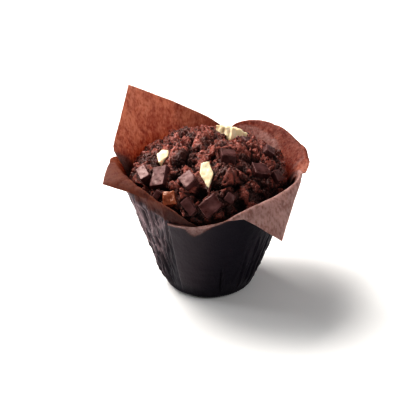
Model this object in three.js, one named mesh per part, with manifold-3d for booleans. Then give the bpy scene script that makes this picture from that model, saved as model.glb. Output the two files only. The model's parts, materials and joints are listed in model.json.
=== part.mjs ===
/**
 * Chocolate muffin in a tulip paper case.
 *
 * Millimetres, +Z up. The origin is the centre of the face the case stands on.
 * -Y is the front, where two petals of the case meet low enough to show the top.
 */
import * as THREE from 'three';
import { ConvexGeometry } from 'three/addons/geometries/ConvexGeometry.js';
import { mergeVertices } from 'three/addons/utils/BufferGeometryUtils.js';
import Module from 'manifold-3d';

const wasm = await Module();
wasm.setup();

// ---- driving dimensions (mm) ------------------------------------------------

const PAPER = {
  thickness: 0.4, // several times greaseproof paper, so that it prints and simulates
  baseRadius: 24.5, // where the wall would meet the table
  wallSlope: 0.34, // mm outwards for each mm up
  filletRadius: 3,
  mouthHeight: 56, // below this all four panels follow the baking tin
  layerStep: 0.7, // from one layer of a pleat to the next, centre to centre
  layersFrom: 12, // height at which the layers lie fully apart
};

const CRUMB = {
  gap: 0.35, // clear space to the paper
  slopeSlack: 0.08, // more of it, because the wall leans
  domeRadius: 43.6,
  domeFoot: 62, // height at which the top leaves the case
  domeRise: 24,
  lumpsFrom: 0.3, // share of the rise over which the lumps fade in
  columns: 72,
  wallRings: 5,
  domeRings: 16,
};

/** Lumps of the baked top: how many, and how broad and tall. */
const LUMPS = { count: 60, seed: 41, leastReach: 4, moreReach: 4.5, height: 4.2, dips: 0.34 };

/** Knolls of batter that stand clear of the rest: where, how broad and how tall. */
const KNOLLS = [
  { at: [9, -26.5], reach: 6, height: 3.4 },
  { at: [-4, 8], reach: 10, height: 2.2 },
  { at: [24, -4], reach: 7, height: 2 },
  { at: [-14, -12], reach: 6, height: 2 },
];

const POCKET_GAP = 0.3; // clear space round each buried piece

/** Rows of points on a rib: up the wall, out to the ridge, and over the flap. */
const ROWS = { wall: 5, throat: 3, flap: 4 };

// ---- the paper square, panel by panel ---------------------------------------

/**
 * One rib of the paper: where it turns over and where the sheet is cut.
 * @param {number} turn degrees about +Z at the rim
 * @param {number[]} ridge [radius, height] of the highest or outermost bend
 * @param {number[]} edge [turn, radius, height] of the cut edge
 * @param {number[]} bend [radius, height] from the ridge to the bend's handle
 */
const rib = (turn, ridge, edge, bend = null) => ({ turn, ridge, edge, bend });

/**
 * The four petals, anticlockwise from the front. foot is the span of the panel
 * at the base, and layers says which layer of the pleat each end lies in:
 * 0 touches the crumb and 2 is outermost.
 */
const PANELS = [
  {
    name: 'front_right',
    foot: [233.5, 361],
    layers: [2, 2],
    ribs: [
      rib(238, [44.7, 58.5], [238, 45.3, 60.3]),
      rib(248, [44.5, 58], [248, 45.1, 59.8]),
      rib(259, [44.3, 57.4], [259, 45, 59.3]),
      rib(273, [45.5, 61], [273, 46.6, 62.8]),
      rib(281, [46.6, 64.4], [281.5, 48.4, 65], [1.2, 0.9]),
      rib(289, [47.6, 68.8], [291, 50, 65.4], [2.4, 1]),
      rib(297, [48.8, 71.8], [297.5, 52.6, 61.6], [3.6, 1.2]),
      rib(305, [49.8, 73.4], [303.5, 56, 56.8], [4.4, 1.2]),
      rib(312, [50.2, 74], [309.5, 60, 51.7], [4.8, 1]),
      rib(322, [50.6, 74.6], [318, 55.9, 58.2], [3.8, 0.8]),
      rib(334, [51, 74.8], [328, 53.2, 66], [2.6, 0.6]),
      rib(344, [50.6, 74.4], [340, 52.2, 72.4], [1.6, 0.5]),
      rib(352, [49.4, 71.4], [351, 51, 73]),
      rib(360, [48, 67.4], [360, 49.4, 69.6]),
      rib(368, [46.2, 62], [368, 47.2, 64.4]),
    ],
  },
  {
    name: 'back_right',
    foot: [363, 449.5],
    layers: [0, 2],
    ribs: [
      rib(356, [45.8, 64.6], [357, 53.6, 69.4], [1.6, 3]),
      rib(363, [48.4, 68], [363, 55.6, 70.4], [3.6, 1.6]),
      rib(370, [53.6, 71.6], [371, 57.6, 69.6], [2.4, 0.8]),
      rib(380, [55.8, 73.6], [381, 60, 66.4], [3, 0.8]),
      rib(391, [56, 75], [390, 61.6, 62.8], [3.6, 1]),
      rib(404, [56.2, 76.4], [402, 63.4, 59.6], [4, 1.2]),
      rib(414, [55.6, 76.8], [414, 60.6, 63.8], [3.6, 1.2]),
      rib(422, [54.2, 76.4], [422, 57.8, 68.8], [3, 1]),
      rib(432, [50.8, 73.6], [433, 53, 73], [1.4, 0.8]),
      rib(444, [47.4, 66], [444, 48.4, 67.6]),
      rib(457, [45, 60.4], [457, 45.8, 62.2]),
    ],
  },
  {
    name: 'back_left',
    foot: [91.5, 164],
    layers: [0, 0],
    ribs: [
      rib(84, [45.8, 62.6], [82, 48.4, 73.6]),
      rib(91, [46, 63.4], [91, 49.4, 78.4]),
      rib(99, [46.2, 64], [99, 50, 81.8]),
      rib(113, [46.6, 66], [113, 54, 88.2]),
      rib(127, [46.6, 68], [127.8, 54.3, 96.6]),
      rib(141.5, [46.8, 70], [141.5, 58, 105]),
      rib(152, [47.6, 69], [152, 55.8, 92.6]),
      rib(163, [48.4, 68], [163, 55.5, 80.6]),
      rib(168, [48.4, 67.4], [168, 54.9, 78.6]),
      rib(172, [47.6, 66.4], [170.6, 53.9, 76.6]),
    ],
  },
  {
    name: 'front_left',
    foot: [166, 231],
    layers: [2, 0],
    ribs: [
      rib(158, [47.4, 62.6], [158, 50, 66.6]),
      rib(166, [50.2, 66.6], [166, 53.8, 71]),
      rib(175, [51, 71.4], [175, 54.2, 74.4]),
      rib(184, [51, 76], [185, 54.2, 76.8]),
      rib(194, [51, 79], [196, 57.4, 78.4], [2.6, 1]),
      rib(201, [50.6, 79.6], [202, 60.6, 77.6], [3.6, 1.4]),
      rib(207, [50.4, 79.6], [207, 63.6, 76.6], [5, 1.6]),
      rib(213, [50.1, 79], [212.5, 59.2, 75.8], [3.8, 1.2]),
      rib(220, [49.6, 77.6], [219.5, 54.8, 74.8], [2.8, 0.8]),
      rib(229, [48.8, 75.2], [228, 51.2, 73.2], [1.4, 0.5]),
      rib(238, [47.6, 71], [238, 48.6, 72]),
      rib(248, [46.2, 66], [248, 47.2, 67.8]),
      rib(256, [44.8, 60.4], [256, 45.6, 62.4]),
      rib(262, [44.2, 57.4], [262, 44.8, 59.4]),
    ],
  },
];

// ---- pieces baked into the top ----------------------------------------------

/**
 * One broken piece: where it sits on the dome, how big it is and how it lies.
 * @param {string} name node name
 * @param {number[]} seat [x, y] of its middle
 * @param {number[]} size [across, along, deep]
 * @param {number} spin degrees about the dome's normal
 * @param {number[]} tilt degrees it leans sideways and downhill
 * @param {number} proud how much of its depth stands clear of the dome
 */
const piece = (name, seat, size, spin, tilt = [0, 0], proud = 0.5) =>
  ({ name, seat, size, spin, tilt, proud });

const DARK_PIECES = [
  piece('dark_chunk_left_brick', [-34.2, -16], [6.6, 10.4, 7.4], 10, [16, 6], 0.6),
  piece('dark_chunk_left_plate', [-26.4, -22], [10.4, 13, 5.4], -24, [-8, 4], 0.5),
  piece('dark_chunk_left_wedge', [-27, -31], [7.2, 4.4, 5], 20, [0, 12], 0.4),
  piece('dark_chunk_centre_tile', [-10.4, -30], [9, 9.4, 6.6], 28, [-10, -6], 0.55),
  piece('dark_chunk_upright', [10, -14], [9, 11, 9], 4, [0, -16], 0.56),
  piece('dark_chunk_crest', [21, 9], [7.6, 7, 6.4], 20, [6, 0], 0.5),
  piece('dark_chunk_right', [32, 2.4], [7.4, 9.6, 7.4], -6, [8, 0], 0.58),
  piece('dark_chunk_right_round', [27.5, -17.5], [11, 8.6, 7], 24, [0, -6], 0.45),
  piece('dark_chunk_right_low', [36.6, -13.6], [7.4, 7.4, 6], -30, [4, 0], 0.45),
  piece('dark_chunk_front_diamond', [0.8, -41.2], [12.6, 8.6, 6.6], 40, [2, -10], 0.5),
  piece('dark_chunk_front_strip', [-10.4, -40.2], [5.4, 9.4, 5], 18, [-10, 0], 0.5),
  piece('dark_chunk_front_shadow', [10.8, -37.4], [6, 5.4, 5.6], -14, [6, 10], 0.4),
  piece('dark_chunk_back_left', [-22, 35.4], [8, 8, 6], 34, [6, -4], 0.35),
  piece('dark_chunk_back', [4, 40.2], [10, 7, 6], -18, [-6, 4], 0.4),
  piece('dark_chunk_back_right', [21, 35.4], [8.4, 8, 6], 12, [4, 8], 0.4),
];

const WHITE_PIECES = [
  piece('white_shard_crest', [12.2, 18.5], [21, 12, 8], -6, [-4, -10], 0.62),
  piece('white_shard_left', [-25.2, -8.4], [7, 13.6, 5], -16, [10, -10], 0.6),
  piece('white_shard_centre', [-1.2, -28.2], [8.4, 17, 5], 2, [-6, 4], 0.62),
  piece('white_shard_back', [-13, 38.8], [7, 8, 4.4], 48, [4, 0], 0.4),
];

const CARAMEL_PIECES = [
  piece('caramel_cube', [-20.2, -35.4], [8.4, 8, 7.4], -22, [6, -6], 0.52),
];

// ---- shared helpers ---------------------------------------------------------

const DEG = Math.PI / 180;

/** A point from degrees about +Z, radius and height. */
function polar(turn, radius, height) {
  return new THREE.Vector3(
    radius * Math.cos(turn * DEG),
    radius * Math.sin(turn * DEG),
    height,
  );
}

/** The same small random sequence each time, from 0 up to 1. */
function seeded(seed) {
  let state = seed >>> 0;
  return () => {
    state = (Math.imul(state, 1664525) + 1013904223) >>> 0;
    return state / 4294967296;
  };
}

/** Radius of the paper's centre line on the tin's wall at a height. */
function wallRadius(height) {
  return PAPER.baseRadius + PAPER.wallSlope * height;
}

/** A point a fraction along the curve from a to b with one handle. */
function curve(a, handle, b, t) {
  const s = 1 - t;
  return a.clone().multiplyScalar(s * s)
    .addScaledVector(handle, 2 * s * t)
    .addScaledVector(b, t * t);
}

/** A geometry from flat lists of points and triangle corners. */
function indexed(points, triangles) {
  const geometry = new THREE.BufferGeometry();
  const flat = points.flatMap((point) => point.toArray());
  geometry.setAttribute('position', new THREE.Float32BufferAttribute(flat, 3));
  geometry.setIndex(triangles);
  return geometry;
}

/** A geometry with its shared corners merged and its empty triangles dropped. */
function closedSkin(geometry) {
  const bare = geometry.clone();
  bare.deleteAttribute('normal');
  bare.deleteAttribute('uv');
  const merged = mergeVertices(bare, 1e-4);
  const corners = merged.index.array;
  const kept = [];
  for (let i = 0; i < corners.length; i += 3) {
    const [a, b, c] = corners.slice(i, i + 3);
    if (a !== b && b !== c && c !== a) {
      kept.push(a, b, c);
    }
  }
  merged.setIndex(kept);
  return merged;
}

/** A three.js geometry as a manifold solid. */
function toSolid(geometry) {
  const skin = closedSkin(geometry);
  return new wasm.Manifold(new wasm.Mesh({
    numProp: 3,
    vertProperties: new Float32Array(skin.attributes.position.array),
    triVerts: new Uint32Array(skin.index.array),
  }));
}

/** A manifold solid as a three.js geometry. */
function toGeometry(solid) {
  const mesh = solid.getMesh();
  const geometry = new THREE.BufferGeometry();
  geometry.setAttribute('position', new THREE.BufferAttribute(new Float32Array(mesh.vertProperties), 3));
  geometry.setIndex(new THREE.BufferAttribute(new Uint32Array(mesh.triVerts), 1));
  return geometry;
}

// ---- the paper case ---------------------------------------------------------

/** Ribs of a panel as points, with the layer's offset added to every radius. */
function panelRibs(panel) {
  const first = panel.ribs[0].turn;
  const last = panel.ribs.at(-1).turn;
  return panel.ribs.map(({ turn, ridge, edge, bend }) => {
    const along = (turn - first) / (last - first);
    const layer = THREE.MathUtils.lerp(panel.layers[0], panel.layers[1], along);
    return {
      foot: THREE.MathUtils.lerp(panel.foot[0], panel.foot[1], along),
      turn,
      layer,
      ridge,
      edge,
      bend: bend ?? [(edge[1] - ridge[0]) / 2, (edge[2] - ridge[1]) / 2],
    };
  });
}

/** A value between two ribs; each number is blended on its own. */
function blendRibs(a, b, t) {
  const mix = (x, y) => THREE.MathUtils.lerp(x, y, t);
  const list = (x, y) => x.map((value, i) => mix(value, y[i]));
  return {
    foot: mix(a.foot, b.foot),
    turn: mix(a.turn, b.turn),
    layer: mix(a.layer, b.layer),
    ridge: list(a.ridge, b.ridge),
    edge: list(a.edge, b.edge),
    bend: list(a.bend, b.bend),
  };
}

/** The same direction, named so that it lies within half a turn of another. */
const near = (turn, beside) => turn + 360 * Math.round((beside - turn) / 360);

/** The fold hidden between two panels: it runs back from one end to the other. */
function hiddenFold(end, start) {
  const there = {
    ...start,
    foot: near(start.foot, end.foot),
    turn: near(start.turn, end.turn),
    edge: [near(start.edge[0], end.edge[0]), start.edge[1], start.edge[2]],
    layer: 1,
  };
  const here = { ...end, layer: 1 };
  const inFold = [blendRibs(here, there, 1 / 3).foot, blendRibs(here, there, 2 / 3).foot];
  return [
    { ...here, foot: inFold[0] },
    { ...blendRibs(here, there, 0.5) },
    { ...there, foot: inFold[1] },
  ];
}

/** Every rib round the sheet: four panels, each joined to the next by a fold. */
function allRibs() {
  const panels = PANELS.map(panelRibs);
  return panels.flatMap((panel, index) => {
    const next = panels[(index + 1) % panels.length];
    const between = panel.slice(1).flatMap((one, i) => [blendRibs(panel[i], one, 0.5), one]);
    return [panel[0], ...between, ...hiddenFold(panel.at(-1), next[0])];
  });
}

/** Centre-line points of one rib from the middle of the base to the cut edge. */
function ribPoints(one) {
  const { filletRadius: fillet, mouthHeight } = PAPER;
  const lift = PAPER.thickness / 2;
  const side = one.layer * PAPER.layerStep;
  const turnAt = (height) => THREE.MathUtils.lerp(one.foot, one.turn, Math.min(height / mouthHeight, 1));
  const sideAt = (height) => side * Math.min(height / PAPER.layersFrom, 1);
  const wall = (height) => polar(turnAt(height), wallRadius(height) + sideAt(height), height);
  const flat = PAPER.baseRadius - fillet;
  const points = [polar(one.foot, flat / 2, lift), polar(one.foot, flat, lift)];
  points.push(polar(one.foot, PAPER.baseRadius - fillet * 0.25, fillet * 0.33));
  for (let i = 0; i < ROWS.wall; i += 1) {
    points.push(wall(THREE.MathUtils.lerp(fillet, mouthHeight, i / ROWS.wall)));
  }
  const mouth = wall(mouthHeight);
  const ridge = polar(one.turn, one.ridge[0] + side, one.ridge[1]);
  const half = (mouthHeight + one.ridge[1]) / 2;
  const throat = polar(one.turn, wallRadius(half) + side, half);
  for (let i = 0; i < ROWS.throat; i += 1) {
    points.push(curve(mouth, throat, ridge, i / ROWS.throat));
  }
  const edge = polar(one.edge[0], one.edge[1] + side, one.edge[2]);
  const middle = (one.turn + one.edge[0]) / 2;
  const handle = polar(middle, one.ridge[0] + side + one.bend[0], one.ridge[1] + one.bend[1]);
  for (let i = 0; i <= ROWS.flap; i += 1) {
    points.push(curve(ridge, handle, edge, i / ROWS.flap));
  }
  return points;
}

/** The paper sheet as one closed skin of even thickness. */
function makeCase() {
  const columns = allRibs().map(ribPoints);
  const rows = columns[0].length;
  const count = columns.length;
  const centre = new THREE.Vector3(0, 0, PAPER.thickness / 2);
  const middle = [centre, ...columns.flat()];
  const at = (column, row) => 1 + (column % count) * rows + row;
  const faces = [];
  for (let column = 0; column < count; column += 1) {
    faces.push([0, at(column + 1, 0), at(column, 0)]);
    for (let row = 0; row < rows - 1; row += 1) {
      const a = at(column, row);
      const b = at(column + 1, row);
      const c = at(column + 1, row + 1);
      const d = at(column, row + 1);
      faces.push([a, b, c], [a, c, d]);
    }
  }
  const skin = indexed(middle, faces.flat());
  skin.computeVertexNormals();
  const normals = middle.map((_, i) => new THREE.Vector3().fromBufferAttribute(skin.attributes.normal, i));
  for (let i = 0; i < middle.length; i += 1) {
    if (middle[i].z <= centre.z) {
      normals[i].set(0, 0, -1);
    }
  }
  const half = PAPER.thickness / 2;
  const outer = middle.map((p, i) => p.clone().addScaledVector(normals[i], half));
  const inner = middle.map((p, i) => p.clone().addScaledVector(normals[i], -half));
  const shift = middle.length;
  const triangles = faces.flatMap(([a, b, c]) => [a, b, c, c + shift, b + shift, a + shift]);
  for (let column = 0; column < count; column += 1) {
    const a = at(column, rows - 1);
    const b = at(column + 1, rows - 1);
    triangles.push(a, b, b + shift, a, b + shift, a + shift);
  }
  return indexed([...outer, ...inner], triangles);
}

// ---- the crumb --------------------------------------------------------------

/** The lumps and dips of the baked surface, scattered over the dome. */
function scatterLumps() {
  const { count, seed, leastReach, moreReach, height, dips } = LUMPS;
  const random = seeded(seed);
  const across = () => (2 * random() - 1) * CRUMB.domeRadius;
  return Array.from({ length: count }, () => ({
    at: new THREE.Vector2(across(), across()),
    reach: leastReach + random() * moreReach,
    height: (random() - dips) * height,
  }));
}

const knolls = KNOLLS.map(({ at, ...size }) => ({ at: new THREE.Vector2(...at), ...size }));
const lumps = [...scatterLumps(), ...knolls];

/** How far the baked surface swells out or sinks in over a place. */
function swell(x, y) {
  const here = new THREE.Vector2(x, y);
  return lumps.reduce((sum, one) => {
    const near = here.distanceTo(one.at) / one.reach;
    return sum + one.height * Math.exp(-near * near);
  }, 0);
}

/** Height of the smooth dome over a place. */
function domeHeight(x, y) {
  const out = Math.min(Math.hypot(x, y) / CRUMB.domeRadius, 1);
  return CRUMB.domeFoot + CRUMB.domeRise * Math.sqrt(1 - out * out);
}

/** Which way the smooth dome faces over a place. */
function domeNormal(x, y) {
  const flatness = (CRUMB.domeRadius / CRUMB.domeRise) ** 2;
  return new THREE.Vector3(x, y, (domeHeight(x, y) - CRUMB.domeFoot) * flatness).normalize();
}

/** Outline of half the crumb, from the middle of its base to the crown. */
function crumbProfile() {
  const inset = CRUMB.gap + PAPER.thickness / 2 + CRUMB.slopeSlack;
  const floor = PAPER.thickness + CRUMB.gap;
  const profile = [
    new THREE.Vector2(0, floor),
    new THREE.Vector2(PAPER.baseRadius - PAPER.filletRadius - inset, floor),
  ];
  for (let i = 0; i <= CRUMB.wallRings; i += 1) {
    const height = THREE.MathUtils.lerp(PAPER.filletRadius + 1, PAPER.mouthHeight, i / CRUMB.wallRings);
    profile.push(new THREE.Vector2(wallRadius(height) - inset, height));
  }
  for (let i = 0; i <= CRUMB.domeRings; i += 1) {
    const climb = (90 * DEG * i) / CRUMB.domeRings;
    const radius = i < CRUMB.domeRings ? CRUMB.domeRadius * Math.cos(climb) : 0;
    profile.push(new THREE.Vector2(radius, CRUMB.domeFoot + CRUMB.domeRise * Math.sin(climb)));
  }
  return profile;
}

/** The crumb as a turned body whose top has risen in lumps. */
function makeCrumb() {
  const turned = new THREE.LatheGeometry(crumbProfile(), CRUMB.columns).rotateX(90 * DEG);
  const body = closedSkin(turned);
  const places = body.attributes.position;
  const here = new THREE.Vector3();
  for (let i = 0; i < places.count; i += 1) {
    here.fromBufferAttribute(places, i);
    const risen = (here.z - CRUMB.domeFoot) / CRUMB.domeRise;
    if (risen > 0) {
      const push = swell(here.x, here.y) * Math.min(risen / CRUMB.lumpsFrom, 1);
      here.addScaledVector(domeNormal(here.x, here.y), push);
      places.setXYZ(i, here.x, here.y, here.z);
    }
  }
  return body;
}

// ---- broken pieces ----------------------------------------------------------

/** Where a piece lies: its own axes and middle on the dome. */
function seatMatrix({ seat, size, spin, tilt, proud }) {
  const [x, y] = seat;
  const normal = domeNormal(x, y);
  const across = new THREE.Vector3(0, 1, 0).cross(normal).normalize();
  const along = normal.clone().cross(across);
  const frame = new THREE.Matrix4().makeBasis(across, along, normal);
  const turn = new THREE.Matrix4().makeRotationFromEuler(
    new THREE.Euler(tilt[1] * DEG, tilt[0] * DEG, spin * DEG, 'ZYX'),
  );
  const middle = new THREE.Vector3(x, y, domeHeight(x, y))
    .addScaledVector(normal, swell(x, y) + size[2] * (proud - 0.5));
  return frame.multiply(turn).setPosition(middle);
}

/** The corner points of a block broken by hand, grown by a margin on all sides. */
function blockCorners({ name, size }, margin) {
  const random = seeded([...name].reduce((sum, letter) => sum * 31 + letter.charCodeAt(0), 7));
  const corners = [];
  for (const sx of [-1, 1]) {
    for (const sy of [-1, 1]) {
      for (const sz of [-1, 1]) {
        const chip = 0.72 + 0.28 * random();
        const lean = 1 - 0.12 * random();
        corners.push(new THREE.Vector3(
          sx * (size[0] / 2) * chip + sx * margin,
          sy * (size[1] / 2) * lean + sy * margin,
          sz * (size[2] / 2) * (0.8 + 0.2 * random()) + sz * margin,
        ));
      }
    }
  }
  return corners;
}

/** The corner points of a shaving with a pointed end. */
function shardCorners({ size }, margin) {
  const [width, length, depth] = size.map((value) => value / 2 + margin);
  const outline = [[0.1, -1], [-0.85, 0.1], [-0.6, 0.9], [0.4, 1], [0.9, 0.15]];
  return outline.flatMap(([x, y]) => [
    new THREE.Vector3(x * width, y * length, depth * (0.55 - 0.3 * x)),
    new THREE.Vector3(x * width * 0.85, y * length * 0.9, -depth),
  ]);
}

/** The hole that a piece has pressed into the crumb. */
function pocket(one, corners) {
  return toSolid(new ConvexGeometry(corners(one, POCKET_GAP)).applyMatrix4(seatMatrix(one)));
}

// ---- materials --------------------------------------------------------------

/** A plain material of one colour and roughness. */
function matter(color, roughness) {
  return new THREE.MeshStandardMaterial({ color, roughness, metalness: 0 });
}

const paperMaterial = () => matter(0x3a241f, 0.7);
const crumbMaterial = () => matter(0x2a1512, 0.85);
const darkMaterial = () => matter(0x24110f, 0.35);
const whiteMaterial = () => matter(0xeadfb4, 0.45);
const caramelMaterial = () => matter(0x8a4a2c, 0.25);

/** A named mesh. */
function node(name, geometry, material) {
  const mesh = new THREE.Mesh(geometry, material);
  mesh.name = name;
  return mesh;
}

// ---- assembly ---------------------------------------------------------------

const KINDS = [
  { pieces: DARK_PIECES, corners: blockCorners, material: darkMaterial },
  { pieces: WHITE_PIECES, corners: shardCorners, material: whiteMaterial },
  { pieces: CARAMEL_PIECES, corners: blockCorners, material: caramelMaterial },
];

function build() {
  const muffin = new THREE.Group();
  muffin.name = 'chocolate_muffin';
  let crumb = toSolid(makeCrumb());
  for (const { pieces, corners, material } of KINDS) {
    for (const one of pieces) {
      crumb = crumb.subtract(pocket(one, corners));
      const mesh = node(one.name, new ConvexGeometry(corners(one, 0)), material());
      mesh.applyMatrix4(seatMatrix(one));
      muffin.add(mesh);
    }
  }
  muffin.add(node('muffin_crumb', toGeometry(crumb), crumbMaterial()));
  muffin.add(node('tulip_case', makeCase(), paperMaterial()));
  return muffin;
}

export default build();
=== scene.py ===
"""A chocolate muffin in a tulip paper case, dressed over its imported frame.

Blender works in metres. Sizes in this file are millimetres unless a name says
otherwise. +Z is up and -Y is the front, where the lowest notch of the case is.
"""

import json
import logging
import math
from dataclasses import dataclass, field
from enum import Enum, IntEnum
from itertools import product

import bmesh
import bpy
import numpy as np
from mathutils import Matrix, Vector
from mathutils.bvhtree import BVHTree


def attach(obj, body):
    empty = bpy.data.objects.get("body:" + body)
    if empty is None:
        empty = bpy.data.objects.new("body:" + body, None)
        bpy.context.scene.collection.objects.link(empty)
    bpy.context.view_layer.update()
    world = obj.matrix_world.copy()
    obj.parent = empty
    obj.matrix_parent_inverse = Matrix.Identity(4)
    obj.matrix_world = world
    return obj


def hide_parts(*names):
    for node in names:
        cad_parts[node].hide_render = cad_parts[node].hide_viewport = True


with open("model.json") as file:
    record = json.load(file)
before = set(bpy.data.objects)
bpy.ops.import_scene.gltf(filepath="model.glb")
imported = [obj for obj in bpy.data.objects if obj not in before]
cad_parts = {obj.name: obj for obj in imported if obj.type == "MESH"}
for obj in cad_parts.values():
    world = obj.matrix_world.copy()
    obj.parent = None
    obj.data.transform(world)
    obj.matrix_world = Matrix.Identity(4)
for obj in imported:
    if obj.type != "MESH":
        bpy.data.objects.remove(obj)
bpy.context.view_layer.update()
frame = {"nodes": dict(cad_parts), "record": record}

MM = 0.001
Array = np.ndarray
Colour = tuple[float, float, float]
Wire = bpy.types.NodeSocket

logging.basicConfig(level=logging.INFO, format="%(message)s")
LOG = logging.getLogger("muffin")


# ---- grain: repeatable noise over points ------------------------------------

CELL_PRIMES = (73856093, 19349663, 83492791)
KEY_MIXER = 0x9E3779B97F4A7C15
OCTAVE_STEP = 17
SLANT_STEP = 50
LUMP_FOOT = 0.85


class Pattern(IntEnum):
    """Which random landscape a noise is drawn from."""

    CREASE_SWAY = 3
    CREASE_TREMBLE = 4
    BIG_LUMPS = 5
    SHAVING = 7
    MIDDLE_LUMPS = 8
    SMALL_LUMPS = 12
    FINE_LUMPS = 19
    COARSE_GATHERS = 21
    FINE_GATHERS = 22
    SOCKET_FLOOR = 31
    LUMP_WARP = 40
    SOCKET_EDGE = 55
    WALL_SWELLS = 61
    WALL_DENTS = 62
    PETAL_SWELLS = 63
    PETAL_DENTS = 64
    HEM = 65
    MELTED = 66
    GRAINY = 77
    TORN = 78
    DRY_LINE = 88
    SOAKING = 89
    CRAGS = 90
    CLEFTS = 91


def cell_random(cells: Array, seed: int) -> Array:
    """Draws the same random numbers for the same cells.

    Args:
        cells: Whole-number cells, one per row.
        seed: Picks one family of numbers.

    Returns:
        Three numbers from 0 to 1 for each cell.
    """
    whole = cells.astype(np.int64).astype(np.uint64)
    key = np.uint64(seed * 977 + 11)
    for axis, prime in enumerate(CELL_PRIMES):
        key = key ^ (whole[..., axis] * np.uint64(prime))
    drawn = []
    for _ in range(3):
        key = (key ^ (key >> np.uint64(31))) * np.uint64(KEY_MIXER)
        drawn.append((key >> np.uint64(40)).astype(float) / 2.0**24)
    return np.stack(drawn, axis=-1)


def smooth_noise(points: Array, size: float, seed: int) -> Array:
    """Soft random hills.

    Args:
        points: Places, one per row.
        size: Width of one hill, in the unit of the points.
        seed: Picks one landscape.

    Returns:
        A number from -1 to 1 for each point.
    """
    scaled = points / size
    cell = np.floor(scaled)
    part = scaled - cell
    part = part**3 * (part * (part * 6 - 15) + 10)
    total = np.zeros(len(points))
    for corner in product((0, 1), repeat=3):
        step = np.array(corner)
        weight = np.prod(np.where(step == 1, part, 1 - part), axis=1)
        total += weight * cell_random(cell + step, seed)[:, 0]
    return total * 2 - 1


def fractal(points: Array, size: float, octaves: int, seed: int) -> Array:
    """Hills with smaller hills on them.

    Args:
        points: Places, one per row.
        size: Width of the largest hills.
        octaves: How many sizes, each half the last.
        seed: Picks one landscape.

    Returns:
        A number from about -1 to 1 for each point.
    """
    total = np.zeros(len(points))
    strength, reach = 1.0, 0.0
    for step in range(octaves):
        total += strength * smooth_noise(points, size / 2**step, seed + OCTAVE_STEP * step)
        reach += strength
        strength *= 0.5
    return total / reach


@dataclass(frozen=True)
class Lumps:
    """Batter lumps over many points.

    Attributes:
        crown: 0 at a lump's foot and 1 on its crown.
        seam: Distance from the crease between two lumps, from 0.
        slant: How far the lump's own leaning facet stands up, from -1 to 1.
    """

    crown: Array
    seam: Array
    slant: Array


def cell_lumps(points: Array, size: float, seed: int, square: float = 2.0) -> Lumps:
    """Lumps that meet in creases, as risen batter does.

    Args:
        points: Places, one per row.
        size: Width of one lump.
        seed: Picks one pattern.
        square: 2 for round lumps, more for blocky ones.

    Returns:
        The lumps at each point.
    """
    scaled = points / size
    cell = np.floor(scaled)
    nearest = np.full(len(points), np.inf)
    second = np.full(len(points), np.inf)
    slant = np.zeros(len(points))
    for corner in product((-1, 0, 1), repeat=3):
        there = cell + np.array(corner)
        away = scaled - there - cell_random(there, seed)
        reach = (np.abs(away) ** square).sum(axis=1) ** (1 / square)
        lean = (away * (cell_random(there, seed + SLANT_STEP) * 2 - 1)).sum(axis=1)
        slant = np.where(reach < nearest, lean, slant)
        second = np.minimum(second, np.maximum(nearest, reach))
        nearest = np.minimum(nearest, reach)
    crown = np.sqrt(np.clip(1 - (nearest / LUMP_FOOT) ** 2, 0, 1))
    return Lumps(crown, second - nearest, slant)


def ramp(value: Array, low: float, high: float) -> Array:
    """A soft step from 0 at low to 1 at high."""
    part = np.clip((value - low) / (high - low), 0, 1)
    return part * part * (3 - 2 * part)


# ---- meshes -----------------------------------------------------------------


def make_object(name: str, points: Array, faces: list, smooth: bool = True) -> bpy.types.Object:
    """Makes a mesh object from millimetre points.

    Args:
        name: The object's name.
        points: Corner points in millimetres, one per row.
        faces: Corner numbers of each face.
        smooth: True for smooth shading.

    Returns:
        The object, linked into the scene.
    """
    mesh = bpy.data.meshes.new(name)
    mesh.from_pydata((points * MM).tolist(), [], faces)
    mesh.update()
    if smooth:
        mesh.shade_smooth()
    else:
        mesh.shade_flat()
    obj = bpy.data.objects.new(name, mesh)
    bpy.context.scene.collection.objects.link(obj)
    return obj


def mesh_points(mesh: bpy.types.Mesh) -> Array:
    """Reads where a mesh's corners are.

    Args:
        mesh: The mesh.

    Returns:
        Corner points in millimetres, one per row.
    """
    flat = np.empty(len(mesh.vertices) * 3)
    mesh.vertices.foreach_get("co", flat)
    return flat.reshape(-1, 3) / MM


def mesh_normals(mesh: bpy.types.Mesh) -> Array:
    """Reads which way a mesh faces at its corners.

    Args:
        mesh: The mesh.

    Returns:
        Corner normals, one per row.
    """
    flat = np.empty(len(mesh.vertices) * 3)
    mesh.vertex_normals.foreach_get("vector", flat)
    return flat.reshape(-1, 3)


def move_points(mesh: bpy.types.Mesh, points: Array) -> None:
    """Puts a mesh's corners at new millimetre points."""
    mesh.vertices.foreach_set("co", (points * MM).ravel())
    mesh.update()


def paint(mesh: bpy.types.Mesh, name: str, values: Array) -> None:
    """Stores one number per corner for the finishes to read."""
    layer = mesh.attributes.new(name, "FLOAT", "POINT")
    layer.data.foreach_set("value", values.astype(np.float32))


def paint_places(mesh: bpy.types.Mesh, name: str, places: Array) -> None:
    """Stores one millimetre place per corner for the finishes to read."""
    layer = mesh.attributes.new(name, "FLOAT_VECTOR", "POINT")
    layer.data.foreach_set("vector", (places * MM).astype(np.float32).ravel())


def hand_over(piece: bpy.types.Object, slot: str, *nodes: str) -> None:
    """Parents a finished piece to the root body and hides the frame's nodes that it stands for.

    Args:
        piece: The piece, in place.
        slot: Not used.
        *nodes: The frame's nodes that it stands for.
    """
    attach(piece, "root")
    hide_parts(*nodes)


# ---- finishes ---------------------------------------------------------------


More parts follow.
